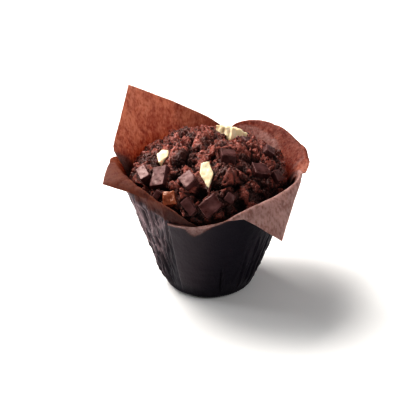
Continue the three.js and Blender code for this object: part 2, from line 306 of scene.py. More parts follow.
class Recipe:
    """A material's node tree while it is being put together."""

    def __init__(self, name: str) -> None:
        """Starts an empty material with its output.

        Args:
            name: The material's name.
        """
        self.material = bpy.data.materials.new(name)
        self.material.use_nodes = True
        self.tree = self.material.node_tree
        self.tree.nodes.clear()
        self.output = self.tree.nodes.new("ShaderNodeOutputMaterial")
        self.place = self.add("ShaderNodeTexCoord").outputs["Object"]

    def add(self, kind: str, **values: object) -> bpy.types.Node:
        """Adds a node and sets or links its inputs.

        Args:
            kind: Blender's name of the node.
            **values: Input values or sockets by input name, underscores for
                spaces, or the node's own properties.

        Returns:
            The node.
        """
        node = self.tree.nodes.new(kind)
        for key, value in values.items():
            socket = node.inputs.get(key.replace("_", " "))
            if socket is None:
                setattr(node, key, value)
            elif isinstance(value, Wire):
                self.tree.links.new(value, socket)
            else:
                socket.default_value = value
        return node

    def noise(self, scale: float, detail: float = 3.0, rough: float = 0.55) -> Wire:
        """Cloudy noise over the object, with scale in waves per metre."""
        node = self.add("ShaderNodeTexNoise", Vector=self.place, Scale=scale, Detail=detail, Roughness=rough)
        return node.outputs["Fac"]

    def stretched(self, scale: float, stretch: Colour) -> Wire:
        """Noise drawn out along some of the axes.

        Args:
            scale: Waves per metre.
            stretch: Share of those waves along each axis, below 1 to draw out.

        Returns:
            The noise.
        """
        turned = self.add("ShaderNodeMapping", Vector=self.place, Scale=stretch)
        node = self.add("ShaderNodeTexNoise", Vector=turned.outputs["Vector"], Scale=scale, Detail=4.0)
        return node.outputs["Fac"]

    def creases(self, places: str, scale: float, width: float) -> Wire:
        """Thin wavy lines, 1 on a line and 0 between.

        Args:
            places: The painted places that the lines are drawn over.
            scale: Waves per metre.
            width: How broad a line is, as a share of the noise's range.

        Returns:
            The lines.
        """
        where = self.add("ShaderNodeAttribute", attribute_name=places).outputs["Vector"]
        noise = self.add("ShaderNodeTexNoise", Vector=where, Scale=scale, Detail=2.0, Distortion=0.25)
        away = self.sum(self.sum(noise.outputs["Fac"], -0.5), 0.0, "ABSOLUTE")
        return self.span(away, 0.0, width, 1.0, 0.0)

    def cells(self, scale: float) -> Wire:
        """Distance to the nearest of many scattered grains."""
        return self.add("ShaderNodeTexVoronoi", Vector=self.place, Scale=scale).outputs["Distance"]

    def painted(self, name: str) -> Wire:
        """A number stored on the mesh's corners."""
        return self.add("ShaderNodeAttribute", attribute_name=name).outputs["Fac"]

    def span(self, value: Wire, low: float, high: float, to_low: float, to_high: float) -> Wire:
        """Stretches a value from one range to another and holds its ends.

        Args:
            value: What is stretched.
            low: Where the first range begins.
            high: Where it ends.
            to_low: What low becomes.
            to_high: What high becomes.

        Returns:
            The stretched value.
        """
        ends = {"From_Min": low, "From_Max": high, "To_Min": to_low, "To_Max": to_high}
        return self.add("ShaderNodeMapRange", Value=value, **ends).outputs["Result"]

    def sum(self, first: Wire, second: Wire | float, how: str = "ADD") -> Wire:
        """Joins two numbers by arithmetic.

        Args:
            first: The first number.
            second: The second number.
            how: Blender's name of the arithmetic.

        Returns:
            The result.
        """
        node = self.tree.nodes.new("ShaderNodeMath")
        node.operation = how
        for socket, value in zip(node.inputs, (first, second)):
            if isinstance(value, Wire):
                self.tree.links.new(value, socket)
            else:
                socket.default_value = value
        return node.outputs["Value"]

    def mix(self, share: Wire | float, first: object, second: object) -> Wire:
        """Blends two colours.

        Args:
            share: How much of the second colour shows.
            first: A colour or a socket that carries one.
            second: A colour or a socket that carries one.

        Returns:
            The blended colour.
        """
        node = self.tree.nodes.new("ShaderNodeMix")
        node.data_type = "RGBA"
        for index, value in ((0, share), (6, first), (7, second)):
            if isinstance(value, Wire):
                self.tree.links.new(value, node.inputs[index])
            elif index == 0:
                node.inputs[index].default_value = value
            else:
                node.inputs[index].default_value = (*value, 1.0)
        return node.outputs[2]

    def bump(self, height: Wire, strength: float, distance: float) -> Wire:
        """Surface relief from a height, its distance in metres."""
        node = self.add("ShaderNodeBump", Height=height, Strength=strength, Distance=distance)
        return node.outputs["Normal"]

    def surface(self, **values: object) -> Wire:
        """A principled surface with the given inputs."""
        return self.add("ShaderNodeBsdfPrincipled", **values).outputs["BSDF"]

    def finish(self, shader: Wire) -> bpy.types.Material:
        """Sends a shader to the output and hands the material over."""
        self.tree.links.new(shader, self.output.inputs["Surface"])
        return self.material


@dataclass(frozen=True)
class CrumbFinish:
    """Baked chocolate batter: sugary crust on the lumps, painted shade in the crevices.

    Attributes:
        name: The material's name.
        deep: Colour of the crevices, which is painted shade.
        body: Colour of the torn faces.
        crust: Colour of what stands out, partly real crust and partly painted light on the exposed lumps.
        melted: Colour where chocolate has melted over it.
        patch_shift: How far broad patches move the colour towards crust.
        speck_shift: How far fine specks do.
        satin: Roughness of the shiniest and the dullest crumb.
        wetness: How much smoother melted chocolate is.
        relief: Depth of the finest grain, in metres.
    """

    name: str = "baked_chocolate_crumb"
    deep: Colour = (0.009, 0.0026, 0.002)
    body: Colour = (0.056, 0.0128, 0.0095)
    crust: Colour = (0.285, 0.08, 0.058)
    melted: Colour = (0.034, 0.009, 0.008)
    patch_shift: float = 0.16
    speck_shift: float = 0.32
    satin: tuple[float, float] = (0.19, 0.44)
    wetness: float = 0.16
    relief: float = 0.0009

    def build(self) -> bpy.types.Material:
        """Makes the material.

        Returns:
            The material.
        """
        recipe = Recipe(self.name)
        height = recipe.painted("crest")
        patches = recipe.noise(150.0, 4.0)
        specks = recipe.noise(1100.0, 5.0, 0.7)
        for noise, shift in ((patches, self.patch_shift), (specks, self.speck_shift)):
            height = recipe.sum(height, recipe.span(noise, 0.3, 0.7, -shift, shift))
        # painted shade: a low crest turns the colour towards deep in the crevices; a high one turns it
        # towards crust, partly real crust and partly painted light
        lower = recipe.mix(recipe.span(height, 0.0, 0.5, 0.0, 1.0), self.deep, self.body)
        colour = recipe.mix(recipe.span(height, 0.5, 1.25, 0.0, 1.0), lower, self.crust)
        glaze = recipe.span(recipe.noise(95.0, 2.0), 0.5, 0.6, 0.0, 0.8)
        glaze = recipe.sum(glaze, recipe.painted("melt"), "MAXIMUM")
        gloss = recipe.span(recipe.noise(190.0, 3.0), 0.4, 0.62, *self.satin)
        cells = recipe.sum(recipe.cells(800.0), 0.6, "MULTIPLY")
        grain = recipe.sum(recipe.noise(1300.0, 6.0, 0.7), cells)
        return recipe.finish(
            recipe.surface(
                Base_Color=recipe.mix(glaze, colour, self.melted),
                Roughness=recipe.sum(gloss, recipe.sum(glaze, -self.wetness, "MULTIPLY")),
                Normal=recipe.bump(grain, 1.0, self.relief),
                Specular_IOR_Level=0.6,
                Specular_Tint=(1.0, 0.8, 0.76, 1.0),
            )
        )


@dataclass(frozen=True)
class ChocolateFinish:
    """Broken chocolate or sugar pieces: smooth faces, chipped grain, bloom.

    Attributes:
        name: The material's name.
        body: Colour of a clean face.
        bloom: Colour of the pale dust and of worn edges.
        bloom_share: How much of the dust shows at most.
        rough_low: Roughness of the shiniest patches.
        rough_high: Roughness of the dullest ones.
        relief: Strength of the broken grain.
        inner_light: Share of light that goes in and comes out again.
        sheen: Strength of the reflection.
        tint: Colour of the reflection.
    """

    name: str
    body: Colour
    bloom: Colour
    bloom_share: float
    rough_low: float
    rough_high: float
    relief: float = 0.3
    inner_light: float = 0.0
    sheen: float = 0.6
    tint: Colour = (1.0, 1.0, 1.0)

    def build(self) -> bpy.types.Material:
        """Makes the material.

        Returns:
            The material.
        """
        recipe = Recipe(self.name)
        clouds = recipe.noise(210.0, 4.0)
        dust = recipe.noise(1400.0, 4.0, 0.7)
        dusty = recipe.sum(clouds, recipe.sum(dust, 0.4, "MULTIPLY"))
        share = recipe.span(dusty, 0.55, 0.95, 0.0, self.bloom_share)
        worn = recipe.sum(recipe.painted("edge"), 0.35, "MULTIPLY")
        share = recipe.add("ShaderNodeClamp", Value=recipe.sum(share, worn)).outputs["Result"]
        fracture = recipe.sum(recipe.noise(520.0, 5.0, 0.6), recipe.sum(dust, 0.35, "MULTIPLY"))
        return recipe.finish(
            recipe.surface(
                Base_Color=recipe.mix(share, self.body, self.bloom),
                Roughness=recipe.span(clouds, 0.35, 0.65, self.rough_low, self.rough_high),
                Normal=recipe.bump(fracture, self.relief, 0.0005),
                Specular_IOR_Level=self.sheen,
                Specular_Tint=(*self.tint, 1.0),
                Subsurface_Weight=self.inner_light,
                Subsurface_Scale=0.002,
                Subsurface_Radius=(1.0, 0.7, 0.4),
            )
        )


@dataclass(frozen=True)
class PaperFinish:
    """Brown greaseproof paper: clouded when dry, darker soaked, black on cake.

    Attributes:
        name: The material's name.
        dry: Colour of the pale clouds in dry paper.
        dry_dark: Colour between those clouds.
        shaded: Painted shade colour of dry paper where the tone is 0.
        soaked: Colour where fat has crept up from the cake.
        on_cake: Colour where the paper lies on the cake.
        on_cake_highlight: Painted highlight colour of its crease lines and lit facet there.
        glow: Colour of light through dry paper.
        glow_soaked: Colour of light through soaked paper.
        glow_share: How much light comes through dry paper.
    """

    name: str = "brown_greaseproof_paper"
    dry: Colour = (0.67, 0.505, 0.49)
    dry_dark: Colour = (0.36, 0.24, 0.22)
    shaded: Colour = (0.08, 0.045, 0.042)
    soaked: Colour = (0.13, 0.03, 0.012)
    on_cake: Colour = (0.0085, 0.0058, 0.0122)
    on_cake_highlight: Colour = (0.37, 0.27, 0.285)
    glow: Colour = (0.9, 0.5, 0.335)
    glow_soaked: Colour = (0.45, 0.078, 0.021)
    glow_share: float = 0.4

    def build(self) -> bpy.types.Material:
        """Makes the material.

        Returns:
            The material.
        """
        recipe = Recipe(self.name)
        contact = recipe.painted("contact")
        soak = recipe.painted("soak")
        clouds = recipe.noise(420.0, 5.0, 0.65)
        drifts = recipe.stretched(200.0, (1.0, 1.0, 0.6))
        fibres = recipe.stretched(1000.0, (1.0, 1.0, 0.3))
        mottle = recipe.sum(recipe.sum(clouds, fibres), recipe.sum(drifts, 0.7, "MULTIPLY"))
        mottle = recipe.span(mottle, 1.12, 1.58, 0.0, 1.0)
        clouded = recipe.mix(mottle, self.dry_dark, self.dry)
        # painted light and shade: each petal's tone blends its dry paper from painted shade to the lit
        # clouded colour
        dry = recipe.mix(recipe.painted("tone"), self.shaded, clouded)
        dry = recipe.mix(soak, dry, self.soaked)
        # painted highlights on the paper that lies on the cake: pale lines along the gathers, and the
        # painted lit facet
        lines = recipe.creases("unrolled", 330.0, 0.05)
        gathered = recipe.sum(lines, recipe.painted("gather"), "MULTIPLY")
        pale = recipe.sum(recipe.painted("crinkle_highlight"), recipe.sum(gathered, 0.8, "MULTIPLY"))
        on_cake = recipe.mix(pale, self.on_cake, self.on_cake_highlight)
        matt = recipe.span(contact, 0.0, 1.0, 0.62, 0.4)
        folds = recipe.sum(gathered, 2.5, "MULTIPLY")
        relief = recipe.bump(recipe.sum(recipe.sum(clouds, fibres), folds), 0.4, 0.0004)
        paper = recipe.surface(
            Base_Color=recipe.mix(contact, dry, on_cake),
            Roughness=recipe.sum(matt, recipe.span(clouds, 0.3, 0.7, -0.06, 0.06)),
            Normal=relief,
            Specular_IOR_Level=0.14,
        )
        patchy = recipe.sum(soak, recipe.span(mottle, 0.0, 1.0, 0.42, -0.3))
        shine = recipe.mix(recipe.span(patchy, 0.0, 1.0, 0.0, 1.0), self.glow, self.glow_soaked)
        light = recipe.add("ShaderNodeBsdfTranslucent", Color=shine, Normal=relief)
        thin = recipe.span(contact, 0.0, 0.8, self.glow_share, 0.0)
        through = recipe.sum(thin, recipe.painted("glow"), "MULTIPLY")
        both = recipe.add("ShaderNodeMixShader", Fac=through)
        recipe.tree.links.new(paper, both.inputs[1])
        recipe.tree.links.new(light.outputs["BSDF"], both.inputs[2])
        return recipe.finish(both.outputs["Shader"])


DARK = ChocolateFinish(
    "dark_chocolate",
    body=(0.042, 0.0098, 0.0085),
    bloom=(0.22, 0.11, 0.11),
    bloom_share=0.42,
    rough_low=0.26,
    rough_high=0.48,
    relief=0.34,
    sheen=0.5,
    tint=(1.0, 0.7, 0.66),
)
WHITE = ChocolateFinish(
    "white_chocolate",
    body=(0.78, 0.64, 0.4),
    bloom=(0.86, 0.78, 0.6),
    bloom_share=0.7,
    rough_low=0.42,
    rough_high=0.6,
    relief=0.26,
    inner_light=0.25,
)
CARAMEL = ChocolateFinish(
    "soft_caramel",
    body=(0.15, 0.03, 0.01),
    bloom=(0.55, 0.22, 0.12),
    bloom_share=0.5,
    rough_low=0.08,
    rough_high=0.24,
    relief=1.0,
    inner_light=0.1,
    tint=(1.0, 0.88, 0.76),
)


# ---- crumb ------------------------------------------------------------------

# the baking tin that shaped crumb and paper alike
TIN_RADIUS = 24.5
TIN_SLOPE = 0.34


@dataclass(frozen=True)
class Spot:
    """A round place on the dome: a knoll, a hollow or a melted patch.

    Attributes:
        x: Place across, from the middle.
        y: Place from front to back, from the middle.
        reach: How broad it is.
        depth: How high, deep or thick it is in the middle.
    """

    x: float
    y: float
    reach: float
    depth: float

    def swell(self, points: Array) -> Array:
        """How strongly each point feels the spot, up to its depth.

        Args:
            points: Points of the dome.

        Returns:
            A number for each point.
        """
        near = np.hypot(points[:, 0] - self.x, points[:, 1] - self.y) / self.reach
        return self.depth * np.exp(-(near**2))


@dataclass
class Socket:
    """The room a broken piece takes in the crumb, from the piece's own faces.

    Attributes:
        node: The piece's node in the frame.
        upright: How far a face may turn from the dome and still be a wall.
        centre: The middle of the piece.
        outward: Which way the dome faces there.
        walls: Which way each of the piece's side faces looks.
        offsets: How far out along that way each face lies.
    """

    node: str
    upright: float = 0.62
    centre: Array = field(init=False)
    outward: Array = field(init=False)
    walls: Array = field(init=False)
    offsets: Array = field(init=False)

    def __post_init__(self) -> None:
        """Reads the piece's side faces from the frame."""
        mesh = frame["nodes"][self.node].data
        self.centre = mesh_points(mesh).mean(axis=0)
        self.outward = MuffinCrumb.dome_normal(self.centre[None])[0]
        walls = []
        for face in mesh.polygons:
            normal = np.array(face.normal)
            if abs(normal @ self.outward) < self.upright:
                walls.append((*normal, normal @ (np.array(face.center) / MM)))
        table = np.array(walls)
        self.walls, self.offsets = table[:, :3], table[:, 3]

    def clearance(self, points: Array) -> Array:
        """How far each point lies outside the piece's sides, in millimetres."""
        return (points @ self.walls.T - self.offsets).max(axis=1)


@dataclass
class MuffinCrumb:
    """The baked body, with a lumpy top that has risen round the pieces.

    Attributes:
        node: The frame's node.
        dome_radius: Radius of the smooth dome's foot.
        dome_foot: Height of that foot.
        dome_rise: How far the smooth dome rises above its foot.
        grid: Cells across the dome's grid.
        base_radius: Radius of the base of the paper's wall.
        wall_slope: How far the wall leans out for each millimetre up.
        wall_inset: How far inside the paper the crumb stays below its dome.
        skirt: Heights of the rings below the dome.
        lumps: Widths of the lumps of batter, from the largest.
        squareness: How blocky the middle and the small lumps are.
        near_cells: Grid cells to each side that a fine lump is judged against.
        far_cells: Grid cells to each side that a large lump is judged against.
        flat_crest: Crest of a flat place, from 0 to 1, which sets its colour between painted shade and
            crust.
        skirt_crest: Crest of the crumb below the dome, from 0 to 1.
        top_light_shift: How much painted light brightens the top, and how much painted shade darkens the
            foot.
        lit_heights: Heights over which painted light brightens the top, going up.
        shaded_heights: Heights over which painted shade darkens the foot, going down.
        coating: How much melted chocolate covers at most, from 0 to 1.
        socket_lift: Millimetres that a socket's floor is above its piece's middle.
        socket_probe: How far above the dome a piece's outline is taken.
        socket_rim: Millimetres round a piece over which the batter climbs.
        smooth_rim: How far up the dome its rim stays even, in radians.
        holds: Radius of the largest loose crumb that stays on it.
        knolls: Where the batter has swelled.
        hollows: Where it has sunk.
        melted: Where chocolate has melted over it.
    """

    node: str = "muffin_crumb"
    dome_radius: float = 43.7
    dome_foot: float = 61.5
    dome_rise: float = 24.5
    grid: int = 284
    base_radius: float = TIN_RADIUS
    wall_slope: float = TIN_SLOPE
    wall_inset: float = 1.5
    skirt: tuple[float, ...] = (60.0, 57.0, 50.0, 36.0, 20.0, 6.0, 2.2)
    lumps: tuple[float, float, float, float] = (12.5, 6.4, 2.8, 1.3)
    squareness: tuple[float, float] = (3.6, 3.0)
    near_cells: int = 4
    far_cells: int = 16
    flat_crest: float = 0.56
    skirt_crest: float = 0.2
    top_light_shift: float = 0.24
    lit_heights: tuple[float, float] = (74.0, 86.0)
    shaded_heights: tuple[float, float] = (78.0, 64.0)
    coating: float = 0.85
    socket_lift: float = 0.1
    socket_probe: float = 1.5
    socket_rim: float = 2.4
    smooth_rim: float = 0.16
    holds: float = 1.0
    knolls: tuple[Spot, ...] = (
        Spot(9.0, -26.5, 5.6, 4.6),
        Spot(-5.0, 6.0, 8.0, 2.0),
        Spot(24.0, -4.0, 6.0, 2.0),
        Spot(-14.0, -8.0, 4.6, 2.2),
        Spot(18.0, -35.0, 4.6, 1.6),
        Spot(22.0, -28.0, 4.0, 1.4),
    )
    hollows: tuple[Spot, ...] = (
        Spot(-17.5, -17.0, 4.4, 4.6),
        Spot(-17.5, -25.5, 3.2, 3.6),
        Spot(-33.0, -26.0, 3.0, 2.6),
        Spot(18.0, -21.0, 2.8, 3.2),
        Spot(4.4, -33.0, 3.2, 3.6),
        Spot(-4.6, -35.5, 2.6, 3.0),
        Spot(-15.8, -41.0, 2.4, 2.4),
        Spot(2.0, -20.0, 2.8, 2.8),
        Spot(33.0, -22.0, 2.8, 2.6),
        Spot(4.0, 0.0, 3.0, 2.4),
        Spot(16.0, 1.0, 2.6, 2.6),
        Spot(-31.0, 0.0, 3.0, 2.6),
        Spot(27.0, 6.0, 2.6, 2.4),
    )
    melted: tuple[Spot, ...] = (
        Spot(9.0, -27.0, 6.0, 1.0),
        Spot(-14.0, -15.0, 8.0, 0.9),
        Spot(21.0, -14.0, 7.0, 0.9),
        Spot(-29.0, -8.0, 6.0, 0.8),
        Spot(30.0, -26.0, 6.0, 0.8),
        Spot(-4.0, -36.0, 5.0, 0.8),
    )

    @classmethod
    def dome_normal(cls, points: Array) -> Array:
        """Finds which way the smooth dome faces.

        Args:
            points: Points on the dome or near it.

        Returns:
            A direction for each point.
        """
        radius, rise, foot = cls.dome_radius, cls.dome_rise, cls.dome_foot
        out = points / np.array([radius**2, radius**2, rise**2])
        out[:, 2] = np.maximum(points[:, 2] - foot, 0.5) / rise**2
        return out / np.linalg.norm(out, axis=1, keepdims=True)

    def _disc(self) -> tuple[Array, list, Array]:
        """Lays an even square grid over a round disc.

        Returns:
            Points on the unit disc, the grid's faces, and the corner numbers
            round its rim, anticlockwise.
        """
        n = self.grid
        line = np.linspace(-1, 1, n + 1)
        a, b = (side.ravel() for side in np.meshgrid(line, line, indexing="ij"))
        wide = np.abs(a) > np.abs(b)
        radius = np.where(wide, a, b)
        with np.errstate(divide="ignore", invalid="ignore"):
            turn = np.where(wide, math.pi / 4 * b / a, math.pi / 2 - math.pi / 4 * a / b)
        turn = np.nan_to_num(turn)
        disc = np.stack([radius * np.cos(turn), radius * np.sin(turn)], axis=1)
        at = np.arange((n + 1) ** 2).reshape(n + 1, n + 1)
        faces = np.stack([at[:-1, :-1], at[1:, :-1], at[1:, 1:], at[:-1, 1:]], axis=-1).reshape(-1, 4)
        rim = np.concatenate([at[:-1, 0], at[-1, :-1], at[:0:-1, -1], at[0, :0:-1]])
        return disc, faces.tolist(), rim

    def _rise(self, points: Array, normals: Array, sockets: list[Socket]) -> Array:
        """Works out how far the batter has risen at each point of the dome.

        Args:
            points: Points on the smooth dome.
            normals: Which way it faces there.
            sockets: The pieces that the batter has risen round.

        Returns:
            Millimetres outwards for each point.
        """
        warp = [fractal(points, 7.0, 3, Pattern.LUMP_WARP + axis) for axis in range(3)]
        warp = np.stack(warp, axis=1)
        loose = points + 2.2 * warp
        big_size, middle_size, small_size, fine_size = self.lumps
        blocky, crumbly = self.squareness
        big = cell_lumps(loose, big_size, Pattern.BIG_LUMPS)
        middle = cell_lumps(loose + 0.8 * warp, middle_size, Pattern.MIDDLE_LUMPS, blocky)
        small = cell_lumps(points + 1.4 * warp, small_size, Pattern.SMALL_LUMPS, crumbly)
        fine = cell_lumps(points + 0.6 * warp, fine_size, Pattern.FINE_LUMPS)
        grainy = ramp(fractal(points, 9.0, 2, Pattern.GRAINY), -0.3, 0.3)
        torn = ramp(fractal(points, 8.0, 2, Pattern.TORN), -0.3, 0.35)
        # each lump swells, leans its own way and parts from the next along a seam
        rise = 3.6 * (big.crown - 0.64) + 0.9 * (middle.crown - 0.55)
        rise += 3.2 * big.slant + 3.0 * middle.slant + (0.3 + 0.9 * torn) * small.slant
        rise -= torn * (2.2 * ramp(big.seam, 0.16, 0.0) + 0.9 * ramp(middle.seam, 0.14, 0.0))
        # crags and clefts break the lumps up
        crags = 1.3 * fractal(points + warp, 5.5, 4, Pattern.CRAGS)
        clefts = 1.1 * np.abs(fractal(points + 0.5 * warp, 3.4, 4, Pattern.CLEFTS))
        rise += crags - clefts
        # small pits, and a grain that comes and goes
        rise -= (0.25 + 0.5 * torn) * ramp(small.crown, 0.95, 0.99)
        rise += (0.1 + 0.3 * grainy) * (small.crown - 0.5)
        rise += (0.12 + 0.4 * grainy) * (fine.crown - 0.5)
        for knoll in self.knolls:
            rise += knoll.swell(points) * (1 + 0.3 * small.crown)
        for hollow in self.hollows:
            rise -= hollow.swell(points) * (0.8 + 0.3 * small.crown)
        floor = self.socket_lift + 1.1 * fractal(points, 4.0, 2, Pattern.SOCKET_FLOOR)
        floor = floor + 0.5 * (small.crown - 0.5)
        ragged = 0.9 * fractal(points, 3.0, 2, Pattern.SOCKET_EDGE)
        probes = points + normals * self.socket_probe
        for socket in sockets:
            sunk = (socket.centre - self._seat(socket.centre)) @ socket.outward
            edge = socket.clearance(probes) + ragged
            rise = rise + (sunk + floor - rise) * ramp(edge, self.socket_rim, 0.0)
        return rise

    def _melt(self, points: Array) -> Array:
        """Works out how much melted chocolate coats the dome.

        Args:
            points: Points of the dome.

        Returns:
            A share for each point, from 0.
        """
        total = 0.3 * fractal(points, 4.0, 3, Pattern.MELTED)
        for patch in self.melted:
            total += patch.swell(points)
        return self.coating * ramp(total, 0.4, 0.62)

    def _exposed(self, rise: Array) -> Array:
        """Works out how far each point stands above its neighbourhood, for the painted shade of the
        crevices.

        Args:
            rise: Millimetres outwards for each point of the dome's grid.

        Returns:
            About 0 in a crevice and 1 on a lump.
        """
        size = self.grid + 1
        level = rise.reshape(size, size)
        near, far = level, level
        for axis in (0, 1):
            near = self._spread(near, self.near_cells, axis)
            far = self._spread(far, self.far_cells, axis)
        crest = self.flat_crest + 0.38 * (level - near) + 0.3 * (level - far)
        return np.clip(crest, 0, 1.2).ravel()

    @staticmethod
    def _spread(level: Array, reach: int, axis: int) -> Array:
        """Averages a grid along one axis.

        Args:
            level: The grid.
            reach: How many cells to each side are averaged.
            axis: 0 or 1.

        Returns:
            The averaged grid.
        """
        margins = [(reach, reach) if axis == side else (0, 0) for side in (0, 1)]
        wide = np.pad(level, margins, mode="edge")
        size = level.shape[axis]
        total = sum(np.take(wide, range(k, k + size), axis=axis) for k in range(2 * reach + 1))
        return total / (2 * reach + 1)

    def _skirt(self, edge: Array, rim: Array, start: int) -> tuple[Array, list]:
        """Closes the crumb below its dome with rings and a flat base.

        Args:
            edge: Points round the dome's rim.
            rim: Their corner numbers.
            start: The number of the first corner that is added.

        Returns:
            The added points and the added faces.
        """
        turns = np.arctan2(edge[:, 1], edge[:, 0])
        count = len(turns)
        rings, faces, last = [], [], rim
        for level in self.skirt:
            wall = self.base_radius + self.wall_slope * level - self.wall_inset
            across, along = np.cos(turns) * wall, np.sin(turns) * wall
            here = np.arange(start, start + count)
            faces += np.stack([last, here, np.roll(here, -1), np.roll(last, -1)], axis=1).tolist()
            rings.append(np.column_stack([across, along, np.full(count, level)]))
            start += count
            last = here
        rings.append(np.array([[0.0, 0.0, self.skirt[-1]]]))
        faces += [(int(a), start, int(b)) for a, b in zip(last, np.roll(last, -1))]
        return np.concatenate(rings), faces

    def _seat(self, centre: Array) -> Array:
        """Finds the point of the smooth dome straight below or above a place.

        Args:
            centre: The place.

        Returns:
            The point.
        """
        out = min(math.hypot(centre[0], centre[1]) / self.dome_radius, 0.995)
        height = self.dome_foot + self.dome_rise * math.sqrt(1 - out * out)
        return np.array([centre[0], centre[1], height])

    def build(self, sockets: list[Socket]) -> bpy.types.Object:
        """Builds and dresses the crumb.

        Args:
            sockets: The pieces that sit in it.

        Returns:
            The crumb.
        """
        disc, faces, rim = self._disc()
        out = np.linalg.norm(disc, axis=1)
        climb = (1 - out) * math.pi / 2
        flat = disc / np.maximum(out[:, None], 1e-9)
        radius = self.dome_radius * np.cos(climb)
        height = self.dome_foot + self.dome_rise * np.sin(climb)
        dome = np.column_stack([flat * radius[:, None], height])
        normals = self.dome_normal(dome)
        rise = self._rise(dome, normals, sockets)
        # painted shade in the crevices from the crest, with painted light added on the top and painted shade
        # towards the foot
        lit_top, shaded_foot = ramp(height, *self.lit_heights), ramp(height, *self.shaded_heights)
        crest = self._exposed(rise) + self.top_light_shift * lit_top - self.top_light_shift * shaded_foot
        rise *= ramp(climb, 0.0, self.smooth_rim)
        dome = dome + normals * rise[:, None]
        skirt, skirt_faces = self._skirt(dome[rim], rim, len(dome))
        crumb = make_object("muffin_crumb_baked", np.concatenate([dome, skirt]), faces + skirt_faces)
        paint(crumb.data, "crest", np.append(crest, np.full(len(skirt), self.skirt_crest)))
        paint(crumb.data, "melt", np.append(self._melt(dome), np.zeros(len(skirt))))
        crumb.data.materials.append(CrumbFinish().build())
        hand_over(crumb, "chocolate_crumb", self.node)
        return crumb


# ---- broken pieces ----------------------------------------------------------


class Sweet(Enum):
    """What a broken piece is made of, with its slot in the record."""

    DARK = "dark_chocolate"
    WHITE = "white_chocolate"
    CARAMEL = "caramel"


@dataclass(frozen=True)
class Make:
    """How one sweet looks and wears.

    Attributes:
        finish: Its finish.
        softness: How many times its edges are eased.
        chip: Millimetres that its faces stray from flat.
        holds: Radius of the largest loose crumb that stays on it.
    """

    finish: ChocolateFinish
    softness: int
    chip: float
    holds: float


MAKES = {
    Sweet.DARK: Make(DARK, softness=3, chip=0.34, holds=0.42),
    Sweet.WHITE: Make(WHITE, softness=2, chip=0.55, holds=0.0),
    Sweet.CARAMEL: Make(CARAMEL, softness=5, chip=0.6, holds=0.0),
}


